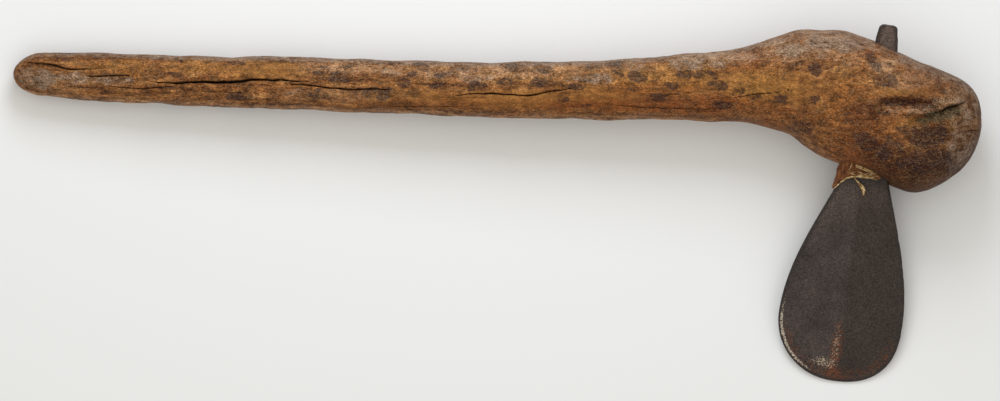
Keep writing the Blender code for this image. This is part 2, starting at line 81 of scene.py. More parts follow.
AXIS_PIXEL = 83.97  # the haft frame's X axis, from the top
TOP_PIXEL = 24.4  # the tang's end, from the top

# The haft's sizes, as in the construction.
HANDLE_LENGTH = 0.469
HEAD_LENGTH = 0.181
HANDLE_HEIGHT = 0.0387
HANDLE_DEPTH = 0.0365
HEAD_HEIGHT = 0.0919
HEAD_DEPTH = 0.078
BELLY_FLAT = 0.0014
BUTT_FLAT = 0.0005
LUMP_DEPTH = 0.0007
LUMP_LENGTH = 0.083
LUMP_WAVES = ((1.0, 3, 0.0), (0.69, -2, 1.3), (0.43, 5, 4.0))  # share of that, times round, start
HANDLE_SECTIONS = (
    (0.036, 0.166, 0.759, 0.73), (0.125, 0.120, 0.856, 0.85), (0.239, 0.056, 0.875, 0.91),
    (0.411, 0.006, 0.931, 0.95), (0.583, -0.070, 0.945, 0.97), (0.754, -0.117, 1.000, 1.00),
    (0.868, -0.104, 1.057, 1.06), (0.926, -0.077, 1.118, 1.10),
)
HEAD_SECTIONS = (
    (0.000, -0.020, 0.511, 0.54), (0.104, -0.010, 0.546, 0.59), (0.193, 0.001, 0.629, 0.67),
    (0.281, -0.002, 0.733, 0.77), (0.341, -0.029, 0.847, 0.85), (0.400, -0.065, 0.922, 0.91),
    (0.489, -0.104, 0.984, 0.97), (0.578, -0.167, 0.995, 1.00), (0.696, -0.274, 1.000, 0.99),
    (0.741, -0.307, 0.983, 0.96), (0.785, -0.319, 0.937, 0.92), (0.845, -0.318, 0.863, 0.85),
    (0.904, -0.304, 0.828, 0.82), (1.000, -0.256, 0.850, 0.82),
)
BUTT_DOME, BUTT_POWER = 0.036, 1.35
CROWN_DOME, CROWN_POWER = 0.215, 2.2
SQUARENESS = 2.25
BUTT_REST, BELLY_REST = 0.125, 0.62

# The blade's sizes, as in the construction. "Down" runs from the tang's end to the blade's tip.
MOUTH = 0.1022  # how far down the iron comes out of the wood
BLADE_LENGTH = 0.1435
BLADE_WIDTH = 0.0835
BLADE_THICKNESS = 0.0046
EDGE_THICKNESS = 0.0012
BEVEL_WIDTH = 0.006
TANG_CORNER = 0.0024
TANG_ROUNDING = 0.001
TANG_END_LEFT, TANG_END_RIGHT = 0.0040, 0.0072
TANG_END_THICKNESS = 0.0050
ROOT_LEFT, ROOT_RIGHT = 0.0135, 0.0173
ROOT_THICKNESS = 0.0066
SHOULDER = MOUTH + 0.002
ROUND_RADIUS = BLADE_WIDTH / 2
ROUND_CENTRE = MOUTH + BLADE_LENGTH - ROUND_RADIUS
LEFT_FULLNESS, RIGHT_FULLNESS = 2.0, 2.45
TANG_POWER, FLARE_POWER = 0.72, 1.1
TANG_RIM, BLADE_RIM = 0.72, 1.7

# The packing's sizes, as in the construction.
HIDE_THICKNESS = 0.0014
HIDE_TUCK = 0.014
HIDE_REACH = 0.0115
HIDE_DROP = 0.0010
HIDE_HANG = 0.0114
FOLD_BULGE = 0.0038
HANG_START, HANG_RUN, HANG_POWER = 0.2, 1.08, 2.6
CLEARANCE = 0.0003
# The edge pared back over the mouth, seen from above: to the side, then below the mouth, in notches.
MOUTH_NOTCH = 0.0056
NOTCH_EDGE = (
    (-3.60, -0.55), (-3.32, -0.73), (-1.93, -1.18), (-0.20, -0.89), (1.79, -0.21),
    (2.50, 0.09), (3.21, 0.61), (3.39, 1.29), (3.54, 2.68),
)
PARED_SLOPE, PARED_REACH = 0.0011, 0.03  # how wide the pared step is, and how far below the mouth it goes

# The haft's surface
SKIN = 0.00025  # how far the handle's fair surface keeps inside the construction's solid
HANDLE_ROWS, HEAD_ROWS, BUTT_ROWS, CROWN_ROWS = 318, 166, 24, 52
HAFT_COLUMNS = 176
CROWDING = 0.42  # how much closer together the columns are on the side that faces up
NECK_START, NECK_END = 0.41, 0.52  # where the handle's finish turns into the head's
HANDLE_FACET = (0.017, 0.0105, 0.0105)  # a hewing cut's length and breadth
HEAD_FACET = (0.021, 0.018, 0.018)
NICK_FACET = (0.0062, 0.0042, 0.0042)
FACET_WANDER = 0.004
HANDLE_CUT, HEAD_CUT, NICK_DEPTH = 0.00062, 0.00070, 0.00022  # how deep they are
SCOOP_RIM, SCOOP_POWER = 0.34, 1.6  # how wide a cut's rounded rim is, as a share of its cell, and its curve
FINE_RELIEF = (  # depth, size, seed and octaves of the grain, the roughness and the fine lines
    (0.00008, (0.030, 0.0016, 0.0016), 41, 2),
    (0.00010, 0.0045, 43, 3),
    (0.00005, (0.0045, 0.00125, 0.00125), 97, 2),
)
PITTED_DEPTH = 0.0007
END_CUT = 0.0011  # how far the head's end is pared flat

# Drying cracks: the widest opening, the depth, then points in pixels.
CRACKS = (
    (0.0013, 0.0040, ((21.6, 61.5), (49.8, 63.9), (69.7, 68.9), (82.9, 69.4), (99.5, 68.1))),
    (0.0010, 0.0026, ((82, 76.9), (106, 76), (133, 75.6))),
    (0.0010, 0.0026, ((108, 87.0), (142.6, 89.3), (159.2, 88), (176, 86.9))),
    (0.0021, 0.0060, ((153, 82.4), (175.8, 83.8), (199, 83.3), (232, 82.2), (256.6, 80.2), (310, 81.7))),
    (0.0013, 0.0045, ((289, 84.5), (313, 86.4), (332.9, 88.9), (356, 90), (381, 90), (398, 91.2))),
    (0.0013, 0.0040, ((455, 96.2), (478.8, 94.3), (504.9, 94.6), (529.8, 96), (549.7, 92.1), (575, 87.6))),
    (0.0006, 0.0010, ((380, 107.1), (447, 107.6), (462, 107))),
    (0.0007, 0.0012, ((654, 98.5), (675, 94.5), (690, 93.3))),
    (0.0008, 0.0016, ((733, 99.2), (752, 95.5), (786, 92.8))),
    (0.0007, 0.0014, ((966.5, 132.2), (974, 131), (981, 130.8))),
    (0.0013, 0.0036, ((934, 113.4), (942, 110.8), (950, 106.8), (958, 104.8), (967, 102.2))),
    (0.0006, 0.0010, ((596, 103), (640, 108), (700, 110), (735, 108))),
    (0.0005, 0.0008, ((60, 86), (84, 88), (104, 88.5))),
    (0.0005, 0.0008, ((200, 91), (222, 93), (246, 93.5))),
    (0.0005, 0.0008, ((400, 84), (424, 84.5), (442, 83.6))),
)
CRACK_WANDER, CRACK_RAGGED = 0.35, 0.35  # shares of its width
CRACK_POWER = 0.55

# The head's hollows, on the side that faces up. Lines run along the edges that overhang them, in pixels.
HOLLOW_RIM = ((864, 113), (874, 103.5), (886, 98.5), (902, 97), (922, 99.5), (936, 106), (948, 113))
HOLLOW_DEPTH = 0.0050
SPLIT_LIP = ((902, 123), (918, 117), (934, 112), (950, 106.5), (970, 101))
SPLIT_DEPTH = 0.0034
# Where the end's flat begins.
END_EDGE = ((962, 98), (956, 108), (950, 125), (946, 138), (943, 150), (948, 166))
KNOT_AT, KNOT_RADII, KNOT_DEPTH = (931, 138), (15, 12), 0.0034

# Marks on the side that faces up: the middle and the radii in pixels, then the strength.
DARK_MARKS = (
    (183, 60.5, 9, 2.5, 0.5), (69, 59.5, 8, 2.5, 0.6), (238, 64, 10, 3, 0.5), (177, 75, 9, 3.5, 0.7),
    (158, 75, 6, 3, 0.7), (320, 75, 8, 4, 0.7), (242, 97, 12, 4.5, 0.9), (185, 95, 6, 3, 0.5),
    (305, 104, 9, 3, 0.5), (311, 93, 14, 4, 0.6), (284, 93, 8, 3, 0.4), (172, 89, 12, 2, 0.5),
    (335, 78, 13, 5, 0.9), (349, 66, 8, 3, 0.8), (323, 67, 6, 3, 0.5), (380, 94, 16, 5, 0.9),
    (421, 67, 10, 4, 0.9), (443, 75, 8, 4, 0.8), (459, 69, 10, 4, 0.7), (413, 76, 6, 5, 0.8),
    (404, 84, 7, 5, 0.8), (437, 85, 9, 3.5, 0.7), (478, 87, 10, 5, 0.9), (508, 82, 10, 4, 0.8),
    (514, 67, 9, 4, 0.9), (541, 69, 9, 4, 0.8), (541, 82, 10, 4.5, 0.9), (591, 67, 10, 3.5, 0.8),
    (617, 74, 7, 4, 0.7), (578, 87, 9, 4, 0.8), (562, 99, 5, 3, 0.7), (584, 107, 7, 2, 0.7),
    (476, 107, 5, 3, 0.6), (505, 109, 5, 2, 0.5), (613, 66, 9, 3.5, 0.8), (638, 77, 10, 4.5, 0.9),
    (633, 89, 7, 3, 0.7), (656, 99, 14, 4, 0.9), (683, 75, 9, 4, 0.9), (706, 76, 10, 5, 1.0),
    (716, 86, 9, 5, 0.9), (723, 106, 12, 4, 1.0), (670, 87, 7, 4, 0.7), (738, 91, 8, 5, 0.6),
    (784, 75, 6, 7, 0.5), (781, 100, 7, 6, 0.6), (757, 98, 8, 4, 0.7), (815, 69, 6, 6, 0.8),
    (814, 100, 7, 5, 0.7), (832, 80, 8, 6, 0.4), (801, 87, 6, 5, 0.4), (846, 76, 10, 4, 0.5),
    (868, 58.5, 6, 5, 1.0), (874, 67, 5, 5, 1.0), (885, 81, 8, 6, 1.0), (878, 82, 5, 5, 0.8),
    (858, 137, 8, 6, 1.0), (866, 145, 9, 6, 1.0), (882, 153, 9, 7, 1.0), (904, 131, 7, 5, 0.9),
    (925, 142, 14, 11, 1.0), (938, 132, 7, 9, 1.0), (905, 150, 14, 6, 0.7), (948, 165, 14, 10, 0.6),
    (800, 128, 18, 8, 0.5), (846, 117, 8, 5, 0.5), (925, 170, 20, 7, 0.6), (915, 160, 18, 10, 0.9),
    (936, 156, 14, 9, 0.9), (926, 136, 17, 13, 0.9), (893, 146, 12, 8, 0.6),
)
GREY_MARKS = (
    (42, 80, 11, 9, 1.0), (26, 76, 9, 12, 0.5), (72, 78, 18, 6, 0.6), (112, 80, 24, 5, 0.5),
    (690, 65, 18, 6, 0.8), (640, 68, 14, 5, 0.5), (590, 78, 22, 5, 0.7), (789, 50, 14, 8, 0.8),
    (822, 43, 18, 8, 1.0), (846, 46, 16, 8, 0.9), (720, 64, 14, 5, 0.6), (300, 92, 26, 3, 0.4),
    (446, 76, 22, 4, 0.4), (480, 79, 16, 4, 0.5), (390, 72, 14, 4, 0.4), (812, 55, 22, 9, 0.4),
    (960, 150, 16, 22, 0.6), (966, 112, 12, 16, 0.5), (716, 58, 60, 4, 0.4),
)
# A few of these are painted highlights on the ridges by the split and the knot: (905, 127), (915, 122), (950,
# 118) and (951, 128).
OCHRE_MARKS = (
    (670, 80, 60, 14, 0.7), (760, 86, 34, 14, 0.9), (520, 100, 46, 8, 0.7), (600, 96, 40, 12, 0.6),
    (790, 88, 24, 14, 0.6), (900, 91, 26, 4, 0.75), (840, 95, 24, 22, 0.45), (265, 70, 40, 8, 0.7),
    (120, 67, 30, 7, 0.5), (200, 67, 34, 6, 0.6), (420, 96, 40, 6, 0.4), (950, 118, 7, 5, 1.0),
    (915, 122, 12, 3, 0.6), (845, 150, 16, 8, 0.3), (560, 75, 70, 8, 0.4), (890, 122, 14, 6, 0.5),
    (900, 168, 14, 5, 0.4), (951, 128, 5, 9, 0.8), (905, 127, 8, 3, 0.8),
)
# Painted shade in the head's hollow: darkest in the band under its overhanging rim, fainter below.
HOLLOW_SHADE_MARKS = (
    (900, 102, 22, 4.5, 1.0), (922, 105, 15, 5, 0.9), (930, 112, 12, 5, 0.6), (862, 110, 14, 8, 0.6),
    (858, 126, 14, 10, 0.35), (875, 118, 16, 8, 0.35), (850, 146, 16, 8, 0.3),
)
BARE_MARKS = ((938, 117, 13, 5, 1.0), (952, 111, 9, 5, 1.0), (923, 121, 9, 3, 0.8))
RED_MARKS = (
    (850, 112, 24, 24, 0.5), (862, 152, 30, 16, 0.9), (880, 118, 22, 12, 0.5), (905, 168, 40, 10, 0.8),
    (690, 104, 60, 9, 0.8), (600, 106, 60, 6, 0.7), (650, 90, 50, 7, 0.5), (770, 118, 40, 12, 0.4),
    (880, 48, 34, 12, 0.5), (935, 80, 30, 14, 0.4), (470, 104, 60, 5, 0.3), (752, 60, 30, 12, 0.4),
)
# (953, 120) is a painted highlight on the lip beside the knot.
PALE_MARKS = (
    (832, 46, 22, 12, 0.45), (780, 52, 24, 10, 0.6), (716, 58, 40, 6, 0.8), (600, 66, 60, 6, 0.4),
    (480, 72, 90, 8, 0.5), (360, 68, 60, 7, 0.5), (340, 96, 60, 6, 0.35), (60, 82, 40, 10, 0.3),
    (846, 58, 16, 10, 0.4), (905, 82, 30, 8, 0.5), (880, 66, 14, 8, 0.7), (440, 70, 60, 8, 0.3),
    (924, 110, 16, 4, 1.0), (948, 101, 15, 4, 1.0), (953, 120, 5, 7, 0.8), (890, 108, 16, 5, 0.5),
    (925, 78, 26, 5, 0.5), (958, 92, 14, 6, 0.6),
)
WORN_MARKS = (
    (520, 100, 130, 9, 1.0), (390, 102, 60, 7, 0.8), (265, 70, 40, 7, 0.7), (790, 90, 40, 16, 0.8),
    (720, 84, 40, 12, 0.6), (610, 98, 60, 10, 0.9), (900, 91, 24, 4, 0.7),
)
PITTED_MARKS = ((925, 136, 26, 22, 1.0), (868, 146, 22, 12, 0.5), (900, 106, 34, 10, 0.3))
FULL_MARKS = ((898, 184, 22, 14, 1.6),)  # where the head's lower edge stands out and no scoop thins it

# The blade's surface
BLADE_COLUMNS = 116
HAMMER_DEPTH, PIT_DEPTH, NOTCH_DEPTH = 0.00016, 0.00012, 0.00035
RIDGE_HEIGHT, RIDGE_WIDTH = 0.0005, 0.014  # of the low ridge down its middle
RIDGE_SIDE, RIDGE_LEAN = 0.0015, 0.03  # how far off the axis it is at the round's centre, and its slope

# The packing's surface
CREASE_LIFT = 0.0004
FIBRES = 26

# The scene
FLOOR_REACH = 6.0
FLOOR_TONE = "F4F4F2"
WINDOW_PLACE, WINDOW_SIZE, WINDOW_POWER = (0.00, 0.78, 0.63), 0.5, 4.8
ROOM_WALLS, ROOM_CEILING = 0.21, 1.23  # how bright the room is at its foot and overhead
SENSOR_WIDTH = 36.0  # millimetres, and the widest side of the picture
CAMERA_DISTANCE, CAMERA_REACH = 11.0, 50.0
FRAMED_HEIGHT = 0.028  # the axe's middle height, where the photograph's scale holds


def soft_step(low, high, value):
    """0 below low and 1 above high, with a smooth S between."""
    t = np.clip((value - low) / (high - low), 0, 1)
    return t * t * (3 - 2 * t)


def smooth_line(places, values, at):
    """A smooth line through the values at the places, in cubic pieces that never overshoot a value."""
    places = np.asarray(places, float)
    values = np.asarray(values, float)
    steps = np.diff(places)
    slopes = np.diff(values) / steps
    before = 2 * steps[1:] + steps[:-1]
    after = steps[1:] + 2 * steps[:-1]
    same_way = slopes[:-1] * slopes[1:] > 0
    first = np.where(same_way, slopes[:-1], 1)
    second = np.where(same_way, slopes[1:], 1)
    inner = np.where(same_way, (before + after) / (before / first + after / second), 0)
    tangents = np.concatenate([slopes[:1], inner, slopes[-1:]])
    at = np.clip(at, places[0], places[-1])
    i = np.clip(np.searchsorted(places, at, side="right") - 1, 0, len(steps) - 1)
    t = (at - places[i]) / steps[i]
    return (
        values[i] * (1 + 2 * t) * (1 - t) ** 2
        + tangents[i] * steps[i] * t * (1 - t) ** 2
        + values[i + 1] * t**2 * (3 - 2 * t)
        + tangents[i + 1] * steps[i] * t**2 * (t - 1)
    )


def lattice_numbers(corners, seed):
    """Three numbers from 0 to 1 for each whole-number corner: the fraction of a large multiple of a sine."""
    waves = corners @ np.array([[127.1, 269.5, 113.5], [311.7, 183.3, 271.9], [74.7, 246.1, 124.6]]) + seed
    return np.modf(np.abs(np.sin(waves)) * 43758.5453)[0]


def drift(points, size, seed, octaves=1):
    """Smooth noise from -1 to 1: numbers on the corners of a grid of that size, blended by soft steps.

    Each further octave has half the size and half the weight.
    """
    total = 0
    for octave in range(octaves):
        scaled = points / np.asarray(size) * 2**octave
        low = np.floor(scaled)
        share = soft_step(0, 1, scaled - low)
        value = 0
        for corner in np.ndindex(2, 2, 2):
            weight = np.prod(np.where(corner, share, 1 - share), axis=-1)
            value = value + weight * lattice_numbers(low + corner, seed + octave)[..., 0]
        total = total + (2 * value - 1) / 2**octave
    return total / (2 - 2 / 2**octaves)


def cells(points, size, seed):
    """How far each point is from the nearest border between cells, and that cell's number from 0 to 1.

    One centre is scattered in each box of a grid of that size. The distance to a border is the difference
    of the distances to the two nearest centres, in boxes.
    """
    scaled = points / np.asarray(size)
    home = np.floor(scaled)
    nearest = np.full(scaled.shape[:-1], np.inf)
    second = nearest.copy()
    number = np.zeros_like(nearest)
    for step in np.ndindex(3, 3, 3):
        corner = home + step - 1
        centre = lattice_numbers(corner, seed)
        distance = np.linalg.norm(corner + centre - scaled, axis=-1)
        closer = distance < nearest
        second = np.where(closer, nearest, np.minimum(second, distance))
        number = np.where(closer, np.modf(centre[..., 0] * 57)[0], number)
        nearest = np.where(closer, distance, nearest)
    return second - nearest, number


def plan(marks):
    """Pixels of the photograph as metres along and across the haft."""
    marks = np.asarray(marks, float)
    along = (marks[..., 0] - BUTT_PIXEL) * METRES_PER_PIXEL
    across = (AXIS_PIXEL - marks[..., 1]) * METRES_PER_PIXEL
    return along, across


def spots(x, y, marks):
    """Soft oval spots at the marks.

    Each is its strength times e to minus half the fourth power of the distance from its middle, in radii.
    """
    total = np.zeros_like(y)
    for px, py, half_long, half_high, strength in marks:
        along, across = plan((px, py))
        distance = np.hypot((x - along) / half_long, (y - across) / half_high) / METRES_PER_PIXEL
        total = np.maximum(total, strength * np.exp(-(distance**4) / 2))
    return total


def haft_section(x):
    """The middle's offset, half height and half depth of the section at distance x from the butt."""
    handle = np.array(HANDLE_SECTIONS) * (HANDLE_LENGTH, HANDLE_HEIGHT, HANDLE_HEIGHT, HANDLE_DEPTH)
    head = np.array(HEAD_SECTIONS) * (HEAD_LENGTH, HEAD_HEIGHT, HEAD_HEIGHT, HEAD_DEPTH)
    head[:, 0] += HANDLE_LENGTH
    places, middles, heights, depths = np.vstack([handle, head]).T
    butt = BUTT_DOME * HANDLE_LENGTH
    crown = CROWN_DOME * HEAD_LENGTH
    past_butt = np.clip((butt - x) / butt, 0, 1)
    past_crown = np.clip((x - HANDLE_LENGTH - HEAD_LENGTH + crown) / crown, 0, 1)
    dome = np.sqrt((1 - past_butt**BUTT_POWER) * (1 - past_crown**CROWN_POWER))
    return (
        smooth_line(places, middles, x),
        smooth_line(places, heights, x) / 2 * dome,
        smooth_line(places, depths, x) / 2 * dome,
    )


def haft_lift(x):
    """The section middle's height: a straight line from the resting butt to the resting belly."""
    butt = BUTT_REST * HANDLE_LENGTH
    belly = HANDLE_LENGTH + BELLY_REST * HEAD_LENGTH
    at_butt = haft_section(butt)[2] - BUTT_FLAT
    at_belly = haft_section(belly)[2] - BELLY_FLAT
    return at_butt + (at_belly - at_butt) * (x - butt) / (belly - butt)


def haft_grid():
    """Distances from the butt, and turns round the axis.

    The distances are closer together on the head and at both ends, and the turns on the upper side.
    """
    butt = BUTT_DOME * HANDLE_LENGTH
    crown = HEAD_LENGTH * CROWN_DOME
    end = HANDLE_LENGTH + HEAD_LENGTH
    rounding = 1 - np.cos(np.linspace(0.1, math.pi / 2, BUTT_ROWS))
    far_rounding = 1 - np.cos(np.linspace(0.1, math.pi / 2, CROWN_ROWS))
    handle = np.linspace(butt, HANDLE_LENGTH, HANDLE_ROWS + 1)[1:]
    head = np.linspace(HANDLE_LENGTH, end - crown, HEAD_ROWS + 1)[1:-1]
    x = np.concatenate([butt * rounding, handle, head, end - crown * far_rounding[::-1]])
    steps = np.linspace(0, 2 * math.pi, HAFT_COLUMNS, endpoint=False)
    return x[:, None], (steps + CROWDING * np.cos(steps))[None, :]


def haft_skin(x, turn):
    """The fair surface: squarish ovals round the line of middles, swelled by slow waves."""
    middle, half_height, half_depth = haft_section(x)
    along = 2 * math.pi * x / LUMP_LENGTH
    waves = [np.sin(along / share + times * turn + start) for share, times, start in LUMP_WAVES]
    swell = 1 + LUMP_DEPTH * sum(waves) / len(waves) / np.maximum(half_height, HANDLE_HEIGHT / 2)
    across = np.sign(np.cos(turn)) * np.abs(np.cos(turn)) ** (2 / SQUARENESS)
    up = np.sign(np.sin(turn)) * np.abs(np.sin(turn)) ** (2 / SQUARENESS)
    y = middle + across * half_height * swell
    z = haft_lift(x) + up * half_depth * swell
    return np.stack([np.broadcast_to(x, y.shape), y, z], axis=-1)


def outward(points):
    """The way out of a surface whose columns go round: the cross product of its steps round and along."""
    along = np.gradient(points, axis=0)
    round_it = np.roll(points, -1, axis=1) - np.roll(points, 1, axis=1)
    out = np.cross(round_it, along)
    out /= np.linalg.norm(out, axis=-1, keepdims=True) + 1e-12
    middle = points.mean(axis=1, keepdims=True)
    facing = np.sign(np.sum(out * (points - middle), axis=-1).mean())
    return out * facing


def crack_share(x, y, width, marks):
    """1 on a crack's middle line, 0 from its sides out. It opens as a power of a sine between its ends."""
    path_x, path_y = plan(marks)
    t = np.clip((x - path_x[0]) / (path_x[-1] - path_x[0]), 0, 1)
    line = np.concatenate([x, np.zeros_like(x), np.zeros_like(x)], axis=-1)
    wander = drift(line, 0.007, path_x[0], 2)[:, None] * width * CRACK_WANDER
    ragged = 1 + CRACK_RAGGED * drift(line, 0.003, path_y[0], 2)[:, None]
    centre = smooth_line(path_x, path_y, x) + wander
    slope = np.gradient(centre[:, 0], x[:, 0])[:, None]
    opening = width / 2 * np.sin(math.pi * t) ** CRACK_POWER * ragged
    distance = np.abs(y - centre) / np.sqrt(1 + slope**2)
    return np.where(opening > 0, np.clip(1 - distance / np.maximum(opening, 1e-6), 0, 1), 0)


def under_line(x, y, marks, blend):
    """How far a place lies below a line of marks, and a window that fades out towards the line's ends."""
    path_x, path_y = plan(marks)
    window = soft_step(path_x[0], path_x[0] + blend, x) * soft_step(-path_x[-1], -path_x[-1] + blend, -x)
    return smooth_line(path_x, path_y, x) - y, window


def sink_the_hollows(x, y):
    """How deep the head's hollow, split and knot sink the upper side at (x, y).

    The hollow falls away within 4.2 mm of its rim, grows shallower from 8 mm and ends by 46 mm. The split
    drops within a millimetre of its lip and rises again over 8.5 mm. The knot is an oval pit.
    """
    below, window = under_line(x, y, HOLLOW_RIM, 0.012)
    hollow = soft_step(0, 0.0042, below) * (1 - 0.55 * soft_step(0.008, 0.020, below))
    hollow = HOLLOW_DEPTH * hollow * (1 - soft_step(0.022, 0.046, below)) * window
    below, window = under_line(x, y, SPLIT_LIP, 0.010)
    split = soft_step(-0.0002, 0.0008, below) * (1 - soft_step(0.0006, 0.0085, below))
    split = SPLIT_DEPTH * split * window
    along, across = plan(KNOT_AT)
    radii = np.array(KNOT_RADII) * METRES_PER_PIXEL
    distance = np.hypot((x - along) / radii[0], (y - across) / radii[1])
    knot = KNOT_DEPTH * np.exp(-(distance**4))
    return hollow + split + knot


class Blade:
    """Where the blade's own frame sits: its side, up and along directions, and the tang end's place."""

    def __init__(self, record):
        tang_end = next(mount for mount in record["mounts"] if mount["name"] == "tang_end")
        self.along = np.array(Vector(tang_end["axis"]).normalized())
        self.up = np.array(Vector((0, -self.along[2], self.along[1])).normalized())
        self.side = np.cross(self.along, self.up)
        half_way = (TANG_END_RIGHT - TANG_END_LEFT) / 2
        self.end = np.array(tang_end["pos_m"]) - self.side * half_way

    def place(self, side, down, height):
        """Points of the blade's frame in the axe's."""
        return (
            self.end
            + side[..., None] * self.side
            - down[..., None] * self.along
            + height[..., None] * self.up
        )

    def read(self, points):
        """Side, down and height in the blade's frame of points in the axe's."""
        away = points - self.end
        return away @ self.side, -(away @ self.along), away @ self.up

    def plumb(self, side, down, height):
        """The side and down of what is plumb under a place, on the iron's middle plane: where it is seen."""
        return side - height * self.side[2] / self.up[2], down + height * self.along[2] / self.up[2]

    def seen_at(self, side, below, height):
        """The place at that height that is seen at so much to the side and below the mouth."""
        shift_side, shift_down = self.plumb(0.0, 0.0, height)
        return side - shift_side, MOUTH + below - shift_down, height


def half_width(down, tang_end, root, fullness):
    """From the blade's axis to the iron's edge on one side: a tang, a sine flare, then a rounded end."""
    tang = tang_end + (root - tang_end) * np.clip(down / SHOULDER, 0, 1) ** TANG_POWER
    corner = np.clip(TANG_CORNER - down, 0, TANG_CORNER)
    tang = tang - TANG_CORNER + np.sqrt(TANG_CORNER**2 - corner**2)
    flare = np.clip((down - SHOULDER) / (ROUND_CENTRE - SHOULDER), 0, 1)
    blade = root + (ROUND_RADIUS - root) * np.sin(math.pi / 2 * flare**FLARE_POWER)
    past = np.clip((down - ROUND_CENTRE) / ROUND_RADIUS, 0, 1)
    rounded = ROUND_RADIUS * (1 - past**fullness) ** (1 / fullness)
    return np.where(down < SHOULDER, tang, np.where(down < ROUND_CENTRE, blade, rounded))


def left_width(down):
    return half_width(down, TANG_END_LEFT, ROOT_LEFT, LEFT_FULLNESS)


def right_width(down):
    return half_width(down, TANG_END_RIGHT, ROOT_RIGHT, RIGHT_FULLNESS)


def half_thickness(down, from_edge):
    """Half the iron's thickness at distance down, and at a distance in from its outline."""
    to_widest = np.clip((down - SHOULDER) / (ROUND_CENTRE - SHOULDER), 0, 1)
    tang = TANG_END_THICKNESS + (ROOT_THICKNESS - TANG_END_THICKNESS) * np.clip(down / SHOULDER, 0, 1)
    middle = tang + (BLADE_THICKNESS - ROOT_THICKNESS) * to_widest
    rim = TANG_RIM * tang + (BLADE_RIM * EDGE_THICKNESS - TANG_RIM * ROOT_THICKNESS) * np.sqrt(to_widest)
    rounding = TANG_ROUNDING + (ROUND_RADIUS - TANG_ROUNDING) * to_widest
    inward = np.clip(from_edge / rounding, 0, 1)
    plain = rim + (middle - rim) * (1 - (1 - inward) ** 2)
    ground = EDGE_THICKNESS + (middle - EDGE_THICKNESS) * (from_edge / BEVEL_WIDTH + 1 - to_widest)
    return np.minimum(plain, ground) / 2


def smooth_mesh(name, places, faces):
    """A mesh with smooth shading."""
    mesh = bpy.data.meshes.new(name)
    mesh.from_pydata(places.tolist(), [], faces)
    mesh.shade_smooth()
    return mesh


def add_object(name, data):
    """An object at the origin, linked to the scene."""
    made = bpy.data.objects.new(name, data)
    bpy.context.scene.collection.objects.link(made)
    return made


def closed_mesh(name, points, attributes=None):
    """A mesh from a grid whose columns go round: quads between its rows, and a fan closes each end."""
    rows, columns = points.shape[:2]
    ends = points[[0, -1]].mean(axis=1)
    places = np.concatenate([points.reshape(-1, 3), ends])
    at = np.arange(rows * columns).reshape(rows, columns)
    after = np.roll(at, -1, axis=1)
    quads = np.stack([at[:-1], after[:-1], after[1:], at[1:]], axis=-1).reshape(-1, 4)
    first_end = np.full(columns, rows * columns)
    fans = np.concatenate(
        [
            np.stack([first_end, after[0], at[0]], axis=-1),
            np.stack([first_end + 1, at[-1], after[-1]], axis=-1),
        ]
    )
    triangles = np.concatenate([quads[:, :3], quads[:, [0, 2, 3]], fans])
    if np.linalg.det(places[triangles] - places.mean(axis=0)).sum() < 0:
        quads, fans = quads[:, ::-1], fans[:, ::-1]
    mesh = smooth_mesh(name, places, quads.tolist() + fans.tolist())
    for key, values in (attributes or {}).items():
        values = np.broadcast_to(values, (rows, columns))
        whole = np.concatenate([values.ravel(), values[[0, -1]].mean(axis=1)])
        mesh.attributes.new(key, "FLOAT", "POINT").data.foreach_set("value", whole.astype(np.float32))
    return mesh


def add_piece(mesh, finish, slot, *nodes):
    """An object at the origin that stands for the CAD nodes, with its finish."""
    piece = add_object(mesh.name, mesh)
    mesh.materials.append(finish)
    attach(piece, "root")
    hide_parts(*nodes)
    return piece


def haft_place(skin):
    """What moves the haft's own frame to the axe's: the box's end, and its side towards the tang."""
    low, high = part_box("haft")
    return np.array([low.x - skin[..., 0].min(), high.y - skin[..., 1].max(), 0])


def open_the_mouth(points, blade):
    """Pares the wood over the mouth: what is seen below the pared edge sinks plumb to the iron's middle."""
    side, down, height = blade.read(points)
    seen_side, seen_down = blade.plumb(side, down, height)
    edge_side, edge_down = MOUTH_NOTCH * np.array(NOTCH_EDGE).T
    below = seen_down - MOUTH - smooth_line(edge_side, edge_down, seen_side)
    within = (seen_side > edge_side[0]) & (seen_side < edge_side[-1]) & (height > 0) & (below < PARED_REACH)
    pared = soft_step(0, PARED_SLOPE, below) * within
    sunk = points.copy()
    sunk[..., 2] -= pared * height / blade.up[2]
    return sunk, pared


def dark_end_and_painted_low_shade(x, share_up, on_head):
    """Where the wood is darker: painted shade on the lower side of neck and head, and a darker far end."""
    neck = soft_step(0.36, 0.42, x) * soft_step(0.0, 0.3, -share_up) * 0.15
    low_head_painted_shade = on_head * soft_step(0.25, 0.75, -share_up) * (0.1 + 0.9 * soft_step(0.553, 0.590, x))
    far_end = soft_step(0.58, 0.635, x) * 0.55
    return np.maximum(np.maximum(neck, low_head_painted_shade), far_end)


def hewn_facets(skin, on_head):
    """How far each place is from the border of its cut, and the cut's number. Cuts are larger on the head."""
    warped = skin + np.stack([FACET_WANDER * drift(skin, 0.011, seed, 2) for seed in (3, 4, 5)], axis=-1)
    handle_border, handle_number = cells(warped, HANDLE_FACET, 11)
    head_border, head_number = cells(warped, HEAD_FACET, 23)
    border = handle_border * (1 - on_head) + head_border * on_head
    return border, np.where(on_head > 0.5, head_number, handle_number)


